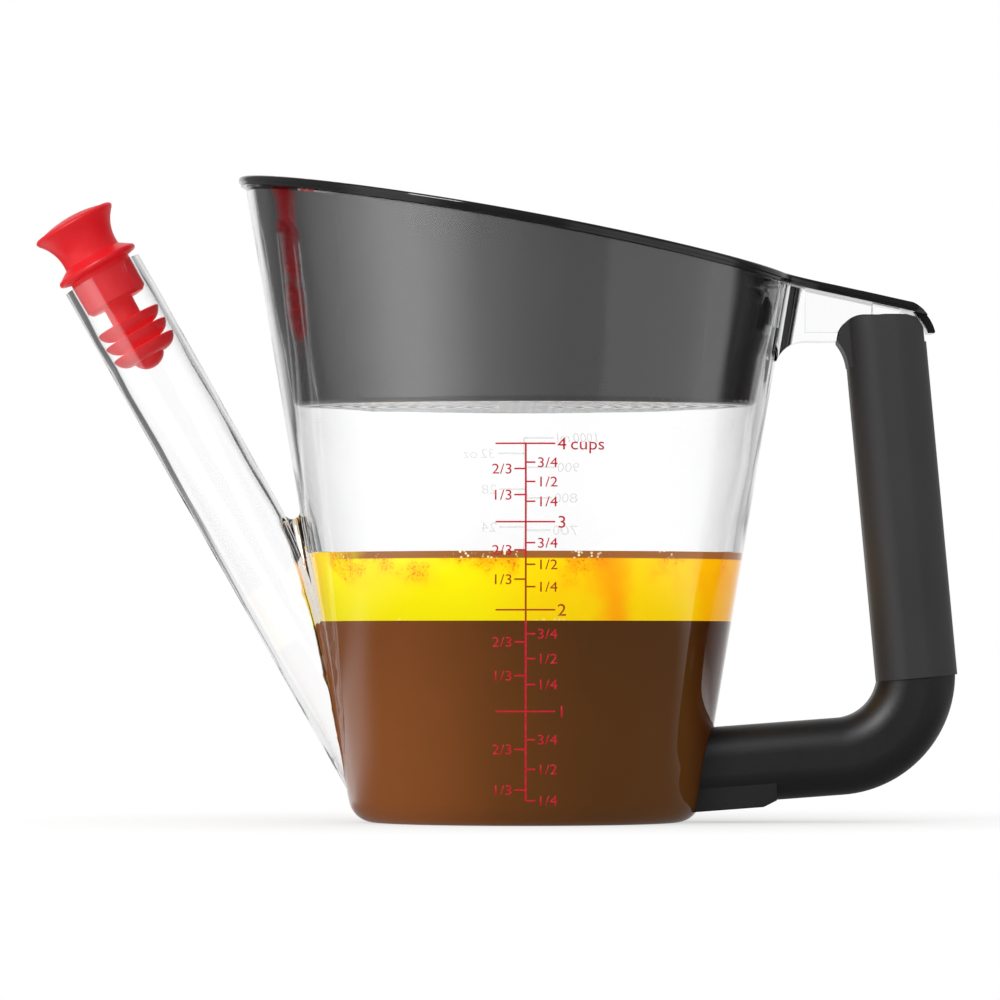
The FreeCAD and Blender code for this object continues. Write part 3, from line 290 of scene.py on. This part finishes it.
air.add("OutputWorld", {}, {"Surface": both})

LAMP_TARGET = Vector((0, 0, 0.08))


def soft_lamp(name, place, size, radiance):
    """A square lamp that looks at the cup and shines with the given radiance."""
    data = bpy.data.lights.new(name, "AREA")
    data.shape = "SQUARE"
    data.size = size
    data.energy = radiance * math.pi * size**2
    lamp = bpy.data.objects.new(name, data)
    lamp.location = place
    lamp.rotation_euler = (LAMP_TARGET - Vector(place)).to_track_quat("-Z", "Y").to_euler()
    bpy.context.scene.collection.objects.link(lamp)
    return lamp


key_lamp = soft_lamp("key_lamp", (-1.15, -0.95, 0.85), size=1.2, radiance=1.9)
fill_lamp = soft_lamp("fill_lamp", (1.30, -0.90, 0.70), size=0.9, radiance=0.8)
gloss_lamp = soft_lamp("gloss_lamp", (-0.75, -1.25, 1.05), size=0.6, radiance=20.0)
gloss_lamp.visible_diffuse = False
for lamp in (key_lamp, fill_lamp, gloss_lamp):
    lamp.visible_glossy = lamp == gloss_lamp
    lamp.visible_transmission = False
    lamp.visible_camera = False

# ---------------------------------------------------------------- cup
# One clear injection moulding: tapered cup, spout, the bracket over the grip and the boss for
# the arm. Its walls are faintly wavy, as a moulding's are, and tint a little along their depth.

CREASE = math.radians(32)
SAME_POINT = 1e-6


def moulded(node, name):
    """A node's own shape with its doubles merged and its faces smooth, in place of the node."""
    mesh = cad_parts[node].data.copy()
    mesh.name = name
    form = bmesh.new()
    form.from_mesh(mesh)
    bmesh.ops.remove_doubles(form, verts=form.verts, dist=SAME_POINT)
    for face in form.faces:
        face.smooth = True
    for edge in form.edges:
        edge.smooth = edge.is_manifold and edge.calc_face_angle(0) < CREASE
    form.to_mesh(mesh)
    form.free()
    if "custom_normal" in mesh.attributes:
        mesh.attributes.remove(mesh.attributes["custom_normal"])
    mesh.materials.clear()
    piece = bpy.data.objects.new(name, mesh)
    bpy.context.scene.collection.objects.link(piece)
    normals = piece.modifiers.new("normals", "WEIGHTED_NORMAL")
    normals.keep_sharp = True
    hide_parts(node)
    return piece


def clear_plastic():
    """Clear hard plastic: faint waves of the mould, a trace of haze, neutral grey in its depth."""
    material = bpy.data.materials.new("clear_plastic")
    clear = Finish(material)
    place = clear.add("TexCoord")["Object"]
    waves = clear.add("TexNoise", {}, {"Vector": place, "Scale": 42.0, "Detail": 1.0})["Fac"]
    haze = clear.add("TexNoise", {}, {"Vector": place, "Scale": 9.0, "Detail": 3.0})["Fac"]
    wavy = {"Strength": 0.015, "Distance": 0.001, "Height": waves}
    bump = clear.add("Bump", {}, wavy)["Normal"]
    surface = {
        "Base Color": (1.0, 1.0, 1.0, 1),
        "Roughness": clear.between(haze, 0.45, 0.75, 0.0, 0.02),
        "IOR": 1.49,
        "Transmission Weight": 1.0,
        "Normal": bump,
    }
    plastic = clear.add("BsdfPrincipled", {}, surface)["BSDF"]
    passing = clear.add("BsdfTransparent", {}, {"Color": (0.97, 0.97, 0.97, 1)})["BSDF"]
    path = clear.add("LightPath")
    unseen = path["Is Shadow Ray"] + path["Is Diffuse Ray"]
    whole = clear.add("MixShader", {}, {0: unseen, 1: plastic, 2: passing})["Shader"]
    depth = {"Color": (0.62, 0.64, 0.66, 1), "Density": 14.0}
    volume = clear.add("VolumeAbsorption", {}, depth)["Volume"]
    clear.close(whole, volume)
    return material


cup = moulded("cup", "cup_moulding")
cup.data.materials.append(clear_plastic())
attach(cup, "vessel")

# ---------------------------------------------------------------- printed scales
# Screen-printed on the cup's outside: a red scale of cups and their parts on the front, and a
# pale scale of millilitres and ounces on the back. Each is a thin film of ink.

FOOT_R = 0.0462
WALL_LEAN = math.radians(9.55)
INK_THICK = 0.00004
INK_OVER = 0.00002

# The stem of each scale and its marks: the long ones from left to right, and the short ones for
# quarters, to the right of the stem, and for thirds, to the left.
ONE_CUP_Z = 0.03015
FOUR_CUPS_Z = 0.09985
MARKS_R = FOOT_R + 0.0008
STEM_THICK = 0.00050
STEM_PAST = 0.0001
RED_MARK_HALF = STEM_THICK * 0.42
PALE_MARK_HALF = STEM_THICK / 2
MARK_LEFT = -0.0079
MARK_RIGHT = 0.0077
QUARTER_LONG = 0.0025
THIRD_LONG = 0.0030
BAR_STEP = 0.0012

# The words beside the marks: how far from the mark, how tall a digit is, and how the letters of
# the plain face are spaced, widened and thickened.
WORD_AWAY = 0.0005
PART_AWAY = 0.0004
VOLUME_AWAY = 0.0007
DIGIT_TALL = 0.0031
PART_TALL = 0.0026
DIGIT_SHARE = 0.7
WORD_STRETCH = 1.14
LETTER_SPACE = 1.02
WORD_SPACE = 0.55
LETTER_BOLD = 0.001

# Between these heights fat stands behind the print.
GRAVY_TOP = 0.0540
FAT_TOP = 0.0706
FAT_FADE = 0.0004


def outer_r(z):
    """Radius of the cup's outside at a height."""
    return FOOT_R + z * math.tan(WALL_LEAN)


def level_z(cups):
    """Height of the mark for a volume in cups: equal volumes of a cone with MARKS_R at its foot."""
    slope = math.tan(WALL_LEAN)
    low = (MARKS_R + slope * ONE_CUP_Z) ** 3
    high = (MARKS_R + slope * FOUR_CUPS_Z) ** 3
    return ((low + (high - low) * (cups - 1) / 3) ** (1 / 3) - MARKS_R) / slope


def wrapped(form, turned):
    """Rolls a flat drawing, x along the girth and y up, round the cup's outside."""
    for corner in form.verts:
        across, up, _ = corner.co
        radius = outer_r(up) + INK_OVER
        angle = turned + across / radius
        corner.co = (radius * math.sin(angle), -radius * math.cos(angle), up)


def draw_bar(form, left, right, low, high):
    """A bar of a scale, cut into short lengths so that it follows the cup."""
    steps = max(1, round((right - left) / BAR_STEP))
    bar = bmesh.ops.create_grid(form, x_segments=steps, y_segments=1, size=0.5)["verts"]
    middle = ((left + right) / 2, (low + high) / 2, 0)
    bmesh.ops.scale(form, vec=(right - left, high - low, 1), verts=bar)
    bmesh.ops.translate(form, vec=middle, verts=bar)


def draw_mark(form, left, right, z, half):
    """A level mark of a scale, from left to right at a height."""
    draw_bar(form, left, right, z - half, z + half)


def draw_words(form, words, side, middle, tall, align="LEFT"):
    """Words as flat faces beside a place, digits as tall as asked, their middle at a height."""
    curve = bpy.data.curves.new("words", "FONT")
    curve.body = words
    curve.align_x = align
    curve.space_character = LETTER_SPACE
    curve.space_word = WORD_SPACE
    curve.offset = LETTER_BOLD
    holder = bpy.data.objects.new("words", curve)
    bpy.context.scene.collection.objects.link(holder)
    bpy.context.view_layer.update()
    mesh = bpy.data.meshes.new_from_object(holder)
    size = tall / DIGIT_SHARE
    mesh.transform(Matrix.Diagonal((WORD_STRETCH * size, size, size, 1)))
    mesh.transform(Matrix.Translation((side, middle - tall / 2, 0)))
    form.from_mesh(mesh)
    bpy.data.objects.remove(holder)
    bpy.data.curves.remove(curve)
    bpy.data.meshes.remove(mesh)


def printed(name, form, turned, ink):
    """A drawing as a film of ink on the cup."""
    bmesh.ops.triangulate(form, faces=form.faces)
    wrapped(form, turned)
    bmesh.ops.recalc_face_normals(form, faces=form.faces)
    mesh = bpy.data.meshes.new(name)
    form.to_mesh(mesh)
    form.free()
    mesh.materials.append(ink)
    piece = bpy.data.objects.new(name, mesh)
    bpy.context.scene.collection.objects.link(piece)
    film = piece.modifiers.new("film", "SOLIDIFY")
    film.thickness = INK_THICK
    film.offset = 1
    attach(piece, "vessel")


def scale_ink(name, fresh, worn, fat_backlight, cover, glow):
    """Screen ink, a little paler in its grain, with the light of the fat behind it painted in where
    fat stands, and a faint painted glow.
    """
    material = bpy.data.materials.new(name)
    ink = Finish(material)
    place = ink.add("TexCoord")["Object"]
    grain = ink.add("TexNoise", {}, {"Vector": place, "Scale": 900.0, "Detail": 2.0})["Fac"]
    height = ink.add("SeparateXYZ", {}, {"Vector": place})["Z"]
    grained = ink.blend(ink.between(grain, 0.35, 0.75), fresh, worn)
    # Between these heights the light of the fat behind is painted into the ink.
    backed = ink.between(height, GRAVY_TOP, GRAVY_TOP + FAT_FADE)
    backed = backed * ink.between(height, FAT_TOP, FAT_TOP + FAT_FADE, 1.0, 0.0)
    tone = ink.blend(backed, grained, fat_backlight)
    surface = {
        "Base Color": tone,
        "Roughness": 0.45,
        "Specular IOR Level": 0.2,
        "Alpha": cover,
        # A faint glow painted in the ink's colour.
        "Emission Color": tone,
        "Emission Strength": glow,
    }
    ink.close(ink.add("BsdfPrincipled", {}, surface)["BSDF"])
    return material


red_ink = scale_ink(
    "red_ink",
    fresh=(0.62, 0.006, 0.026, 1),
    worn=(0.68, 0.020, 0.045, 1),
    fat_backlight=(0.42, 0.055, 0.0, 1),
    cover=1.0,
    glow=0.20,
)
drawing = bmesh.new()
draw_bar(drawing, -STEM_THICK / 2, STEM_THICK / 2, level_z(0.25) - STEM_PAST, FOUR_CUPS_Z)
for cups in range(1, 5):
    z = level_z(cups)
    draw_mark(drawing, MARK_LEFT, MARK_RIGHT, z, RED_MARK_HALF)
    words = "4 cups" if cups == 4 else str(cups)
    draw_words(drawing, words, MARK_RIGHT + WORD_AWAY, z, DIGIT_TALL)
for cups in range(4):
    for quarter, words in ((0.25, "1/4"), (0.5, "1/2"), (0.75, "3/4")):
        z = level_z(cups + quarter)
        draw_mark(drawing, 0, QUARTER_LONG, z, RED_MARK_HALF)
        draw_words(drawing, words, QUARTER_LONG + PART_AWAY, z, PART_TALL)
    for third, words in ((1 / 3, "1/3"), (2 / 3, "2/3")):
        z = level_z(cups + third)
        draw_mark(drawing, -THIRD_LONG, 0, z, RED_MARK_HALF)
        draw_words(drawing, words, -THIRD_LONG - PART_AWAY, z, PART_TALL, "RIGHT")
printed("cup_scale", drawing, 0.0, red_ink)

pale_ink = scale_ink(
    "pale_ink",
    fresh=(0.60, 0.63, 0.62, 1),
    worn=(0.70, 0.72, 0.71, 1),
    fat_backlight=(0.60, 0.50, 0.10, 1),
    cover=0.18,
    glow=0.5,
)
ML_PER_CUP = 236.6
OZ_PER_CUP = 8
drawing = bmesh.new()
draw_bar(drawing, -STEM_THICK / 2, STEM_THICK / 2, level_z(0.25), level_z(1000 / ML_PER_CUP))
for volume in range(100, 1001, 100):
    z = level_z(volume / ML_PER_CUP)
    draw_mark(drawing, MARK_LEFT, 0, z, PALE_MARK_HALF)
    words = "1000 ml" if volume == 1000 else str(volume)
    draw_words(drawing, words, MARK_LEFT - VOLUME_AWAY, z, PART_TALL, "RIGHT")
for ounces in range(4, 33, 4):
    z = level_z(ounces / OZ_PER_CUP)
    draw_mark(drawing, 0, MARK_RIGHT, z, PALE_MARK_HALF)
    words = "32 oz" if ounces == 32 else str(ounces)
    draw_words(drawing, words, MARK_RIGHT + VOLUME_AWAY, z, PART_TALL)
printed("volume_scale", drawing, math.pi, pale_ink)

# ---------------------------------------------------------------- gravy and fat
# The cup's contents: brown gravy to just under the two-cup mark, and a layer of yellow fat that
# floats on it. Each presses a little into the wall, so that no air shows between.

CUP_WALL = 0.0025
CUP_FLOOR = 0.0026
PRESS = 0.00005
ROUND_STEPS = 160


def inner_r(z):
    """Radius of the contents at a height: the wall's inside and the little press."""
    return outer_r(z) - CUP_WALL / math.cos(WALL_LEAN) + PRESS


def poured(low, high):
    """A round body of liquid between two heights inside the cup, and its upper face."""
    form = bmesh.new()
    bmesh.ops.create_circle(form, cap_ends=True, radius=inner_r(low), segments=ROUND_STEPS)
    bmesh.ops.translate(form, vec=(0, 0, low), verts=form.verts)
    base = form.faces[:]
    raised = bmesh.ops.extrude_face_region(form, geom=base, use_keep_orig=True)["geom"]
    ring = [item for item in raised if isinstance(item, bmesh.types.BMVert)]
    grown = inner_r(high) / inner_r(low)
    bmesh.ops.scale(form, vec=(grown, grown, 1), verts=ring)
    bmesh.ops.translate(form, vec=(0, 0, high - low), verts=ring)
    lid = next(item for item in raised if isinstance(item, bmesh.types.BMFace))
    return form, lid


def finished(name, form, material):
    """Makes a body of liquid a piece that stays with the cup."""
    bmesh.ops.recalc_face_normals(form, faces=form.faces)
    for face in form.faces:
        face.smooth = True
    mesh = bpy.data.meshes.new(name)
    form.to_mesh(mesh)
    form.free()
    mesh.materials.append(material)
    piece = bpy.data.objects.new(name, mesh)
    bpy.context.scene.collection.objects.link(piece)
    normals = piece.modifiers.new("normals", "WEIGHTED_NORMAL")
    normals.keep_sharp = True
    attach(piece, "vessel")


LIQUID_BLACK = (0.0, 0.0, 0.0, 1)
# Tones of the gravy with painted light: lit, plain brown, shaded, and the painted shadow at its
# right edge.
GRAVY_LIT = (0.215, 0.064, 0.0145, 1)
GRAVY_BROWN = (0.118, 0.038, 0.006, 1)
GRAVY_SHADED = (0.082, 0.029, 0.005, 1)
GRAVY_EDGE_SHADE = (0.045, 0.010, 0.0005, 1)


def gravy_finish():
    """Brown gravy with painted light: lighter at the left where the light comes in, painted shade to
    the right and at its right edge, and a painted glow.
    """
    material = bpy.data.materials.new("gravy")
    gravy = Finish(material)
    place = gravy.add("TexCoord")["Object"]
    across = gravy.add("SeparateXYZ", {}, {"Vector": place})["X"]
    cloud = gravy.add("TexNoise", {}, {"Vector": place, "Scale": 50.0, "Detail": 3.0})["Fac"]
    where = across + 0.012 * (cloud - 0.5)
    # Painted light and shade: the lit tone at the left, a shaded one to the right, a painted shadow
    # at the right edge.
    tone = gravy.blend(gravy.between(where, -0.034, -0.002), GRAVY_LIT, GRAVY_BROWN)
    tone = gravy.blend(gravy.between(where, -0.006, 0.020), tone, GRAVY_SHADED)
    tone = gravy.blend(gravy.between(across, 0.040, 0.048), tone, GRAVY_EDGE_SHADE)
    surface = {
        "Base Color": gravy.blend(0.5, tone, LIQUID_BLACK),
        "Roughness": 0.6,
        "Specular IOR Level": 0.0,
        # A glow painted in the gravy's own colour.
        "Emission Color": tone,
        "Emission Strength": 0.76,
    }
    gravy.close(gravy.add("BsdfPrincipled", {}, surface)["BSDF"])
    return material


FAT_LEMON = (0.98, 0.86, 0.0, 1)
FAT_GOLD = (0.98, 0.66, 0.0, 1)
FAT_WARM = (1.0, 0.34, 0.0, 1)
FAT_END_SHADE = (1.0, 0.50, 0.04, 1)
FAT_CLOUD = (1.0, 0.30, 0.0, 1)
FAT_GRAIN = (0.50, 0.13, 0.0, 1)
FAT_MILKY = (0.72, 0.70, 0.68, 1)
FAT_FOAM = (1.0, 0.90, 0.62, 1)
SKIN_LIGHT = (0.40, 0.14, 0.03, 1)
SKIN_DARK = (0.26, 0.09, 0.02, 1)


def fat_finish():
    """Yellow fat with its light from behind painted in as a glow, drifts of small solids, a brown
    skin and foam.
    """
    material = bpy.data.materials.new("fat")
    fat = Finish(material)
    place = fat.add("TexCoord")["Object"]
    axes = fat.add("SeparateXYZ", {}, {"Vector": place})
    across, height = axes["X"], axes["Z"]
    drift = fat.add("TexNoise", {}, {"Vector": place, "Scale": 55.0, "Detail": 4.0})["Fac"]
    where = across + 0.016 * (drift - 0.5)

    # From lemon at the left to gold at the right and warmer in one streak; both ends are warmer and
    # darker, a painted shade where the light crosses more fat.
    tone = fat.blend(fat.between(where, -0.022, 0.012), FAT_LEMON, FAT_GOLD)
    streak = fat.between(where.reckon("ABSOLUTE", where - 0.0215), 0.0, 0.0075, 0.85, 0.0)
    tone = fat.blend(streak, tone, FAT_WARM)
    left_end_shade = fat.between(across, -0.056, -0.048, 0.7, 0.0)
    tone = fat.blend(left_end_shade, tone, FAT_END_SHADE)
    right_end_shade = fat.between(across, 0.041, 0.047, 0.0, 0.6)
    tone = fat.blend(right_end_shade, tone, FAT_WARM)

    # Clouds of fine solids that hang below the skin.
    high = fat.between(height, GRAVY_TOP + 0.005, FAT_TOP)
    cloud = fat.between(drift, 0.46, 0.66) * high
    tone = fat.blend(cloud * 0.9, tone, FAT_CLOUD)
    speck = fat.add("TexNoise", {}, {"Vector": place, "Scale": 1500.0, "Detail": 3.0})["Fac"]
    grains = fat.between(speck, 0.54, 0.64) * fat.between(cloud, 0.10, 0.50)
    tone = fat.blend(grains * 0.7, tone, FAT_GRAIN)

    # A milky strip on the spout's side.
    beside = axes["Y"].reckon("ABSOLUTE", axes["Y"])
    beside = fat.between(beside, 0.006, 0.012, 0.9, 0.0) * fat.between(across, -0.02, 0.0, 1.0, 0.0)
    tone = fat.blend(beside, tone, FAT_MILKY)

    # The brown skin on top, and foam in it and along the gravy.
    skin = fat.between(height, FAT_TOP - 0.0005, FAT_TOP - 0.0001)
    brown = fat.blend(drift, SKIN_LIGHT, SKIN_DARK)
    tone = fat.blend(skin * fat.between(where, -0.052, -0.040), tone, brown)
    bubbles = fat.add("TexVoronoi", {}, {"Vector": place, "Scale": 900.0})["Distance"]
    low = fat.between(height, GRAVY_TOP + 0.0003, GRAVY_TOP + 0.0006, 0.6, 0.0)
    patch = fat.between(drift, 0.53, 0.60) * (skin + low)
    foam = fat.between(bubbles, 0.25, 0.38, 1.0, 0.0) * patch
    tone = fat.blend(foam, tone, FAT_FOAM)
    surface = {
        "Base Color": fat.blend(0.45, tone, LIQUID_BLACK),
        "Roughness": 0.5,
        "Specular IOR Level": 0.0,
        # The fat's light from behind is painted in as a glow in its own colour.
        "Emission Color": tone,
        "Emission Strength": 0.82,
    }
    fat.close(fat.add("BsdfPrincipled", {}, surface)["BSDF"])
    return material


# The gravy fills the rounded corner inside the cup's foot.
GRAVY_CORNER = 0.0036
form = poured(CUP_FLOOR - PRESS, GRAVY_TOP)[0]
foot = [
    edge
    for edge in form.edges
    if all(corner.co.z < CUP_FLOOR for corner in edge.verts)
]
bmesh.ops.bevel(
    form, geom=foot, offset=GRAVY_CORNER, segments=6, profile=0.5,
    affect="EDGES", material=-1,
)
finished("gravy", form, gravy_finish())

# The fat climbs the wall to its edge: its top is inset in narrow rings, each one lower.
FAT_EDGE = 0.0722
FAT_RINGS = (0.0003, 0.0005, 0.0008, 0.0014, 0.0026)
FAT_CURVE = 0.0008
form, lid = poured(GRAVY_TOP, FAT_EDGE)
climb = FAT_EDGE - FAT_TOP
for inset in FAT_RINGS:
    bmesh.ops.inset_region(form, faces=[lid], thickness=inset)
    fall = climb * (1 - math.exp(-inset / FAT_CURVE))
    bmesh.ops.translate(form, vec=(0, 0, -fall), verts=lid.verts)
    climb -= fall
finished("fat", form, fat_finish())

# ---------------------------------------------------------------- strainer
# One glossy black moulding with a beaded rim, a skirt, a perforated floor and a thumb tab. It
# hangs in the cup by its rim, with nothing to fasten it, and lifts out.

DRIFT_LIFT = 1.3


def hard_black(name, base, low, high, grain_size, grain_deep):
    """Dark moulded plastic: its roughness drifts from low to high, its colour a little; a grain."""
    material = bpy.data.materials.new(name)
    black = Finish(material)
    place = black.add("TexCoord")["Object"]
    drift = black.add("TexNoise", {}, {"Vector": place, "Scale": 28.0, "Detail": 4.0})["Fac"]
    grain = black.add("TexNoise", {}, {"Vector": place, "Scale": grain_size, "Detail": 2.0})["Fac"]
    fine = {"Strength": grain_deep, "Distance": 0.0001, "Height": grain}
    bump = black.add("Bump", {}, fine)["Normal"]
    lighter = tuple(DRIFT_LIFT * part for part in base[:3]) + (1,)
    surface = {
        "Base Color": black.blend(drift, base, lighter),
        "Roughness": black.between(drift, 0.3, 0.7, low, high),
        "IOR": 1.5,
        "Normal": bump,
    }
    black.close(black.add("BsdfPrincipled", {}, surface)["BSDF"])
    return material


strainer = moulded("strainer", "strainer_moulding")
gloss_black = hard_black(
    "gloss_black", (0.016, 0.016, 0.017, 1), low=0.06, high=0.12, grain_size=160.0, grain_deep=0.03
)
strainer.data.materials.append(gloss_black)
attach(strainer, "strainer_unit")

# ---------------------------------------------------------------- stopper
# Soft red silicone, moulded in one: trumpet head, collar, plug and three fins. It is pushed into
# the spout's mouth, where its fins and its plug hold it, and pulled out to pour.


def silicone():
    """Red silicone: satin and faintly mottled, with a little light scattered within it and a faint
    glow painted in its colour.
    """
    material = bpy.data.materials.new("red_silicone")
    rubber = Finish(material)
    place = rubber.add("TexCoord")["Object"]
    drift = rubber.add("TexNoise", {}, {"Vector": place, "Scale": 120.0, "Detail": 4.0})["Fac"]
    grain = rubber.add("TexNoise", {}, {"Vector": place, "Scale": 2600.0, "Detail": 2.0})["Fac"]
    fine = {"Strength": 0.12, "Distance": 0.0001, "Height": grain}
    bump = rubber.add("Bump", {}, fine)["Normal"]
    tone = rubber.blend(drift, (0.86, 0.010, 0.018, 1), (0.94, 0.020, 0.030, 1))
    surface = {
        "Base Color": tone,
        "Roughness": rubber.between(drift, 0.3, 0.7, 0.34, 0.46),
        "Subsurface Weight": 0.15,
        "Subsurface Radius": (0.003, 0.0006, 0.0006),
        "Subsurface Scale": 1.0,
        # A faint glow painted in the rubber's colour.
        "Emission Color": tone,
        "Emission Strength": 0.14,
        "IOR": 1.41,
        "Normal": bump,
    }
    rubber.close(rubber.add("BsdfPrincipled", {}, surface)["BSDF"])
    return material


stopper = moulded("stopper", "stopper_moulding")
stopper.data.materials.append(silicone())
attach(stopper, "stopper_unit")

# ---------------------------------------------------------------- handle frame
# The rigid core of the handle, moulded in glass-filled grey plastic. It is screwed to the cup's
# boss and post, and the arm's skin and the sleeve hide it.

filled_plastic = hard_black(
    "filled_plastic", (0.10, 0.10, 0.11, 1), low=0.45, high=0.6, grain_size=1500.0, grain_deep=0.2
)
handle_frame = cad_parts["handle_frame"]
handle_frame.data.materials.clear()
handle_frame.data.materials.append(filled_plastic)

# ---------------------------------------------------------------- arm and its cover
# A black skin, spark-eroded to a fine satin texture, around elbow and arm; the pad under its
# inner end closes the hatch for the screws.

satin_black = hard_black(
    "satin_black", (0.011, 0.011, 0.012, 1), low=0.42, high=0.52, grain_size=3200.0, grain_deep=0.35
)
for node, name in (("arm_shell", "arm_skin"), ("arm_cover", "arm_hatch_pad")):
    piece = moulded(node, name)
    piece.data.materials.append(satin_black)
    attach(piece, "vessel")

# ---------------------------------------------------------------- grip
# A soft sleeve of matt rubber, moulded with a fine powdery skin. It is pulled over the frame's
# upright part, up to the clear bracket.


def soft_rubber():
    """Matt grey-black rubber: powdery and finely pitted, of a roughness that drifts."""
    material = bpy.data.materials.new("soft_rubber")
    rubber = Finish(material)
    place = rubber.add("TexCoord")["Object"]
    drift = rubber.add("TexNoise", {}, {"Vector": place, "Scale": 22.0, "Detail": 4.0})["Fac"]
    pits = rubber.add("TexNoise", {}, {"Vector": place, "Scale": 2400.0, "Detail": 3.0})["Fac"]
    fine = {"Strength": 0.35, "Distance": 0.0001, "Height": pits}
    bump = rubber.add("Bump", {}, fine)["Normal"]
    surface = {
        "Base Color": rubber.blend(drift, (0.034, 0.032, 0.034, 1), (0.048, 0.046, 0.048, 1)),
        "Roughness": rubber.between(drift, 0.3, 0.7, 0.52, 0.64),
        "IOR": 1.5,
        "Sheen Weight": 0.15,
        "Sheen Roughness": 0.5,
        "Normal": bump,
    }
    rubber.close(rubber.add("BsdfPrincipled", {}, surface)["BSDF"])
    return material


grip = moulded("handle_grip", "grip_sleeve")
grip.data.materials.append(soft_rubber())
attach(grip, "vessel")

# ---------------------------------------------------------------- screws
# Self-tapping steel screws, plated with zinc: two up through the arm's foot into the cup's boss,
# one across the post. The pad and the sleeve hide them.


def plated_steel():
    """Bright zinc plate, dulled in small spangles."""
    material = bpy.data.materials.new("plated_steel")
    steel = Finish(material)
    place = steel.add("TexCoord")["Object"]
    spangle = steel.add("TexVoronoi", {}, {"Vector": place, "Scale": 1400.0})["Distance"]
    surface = {
        "Base Color": steel.blend(spangle, (0.62, 0.63, 0.65, 1), (0.50, 0.51, 0.54, 1)),
        "Metallic": 1.0,
        "Roughness": steel.between(spangle, 0.1, 0.7, 0.25, 0.40),
    }
    steel.close(steel.add("BsdfPrincipled", {}, surface)["BSDF"])
    return material


plating = plated_steel()
for node in ("arm_screws", "post_screw"):
    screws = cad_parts[node]
    screws.data.materials.clear()
    screws.data.materials.append(plating)
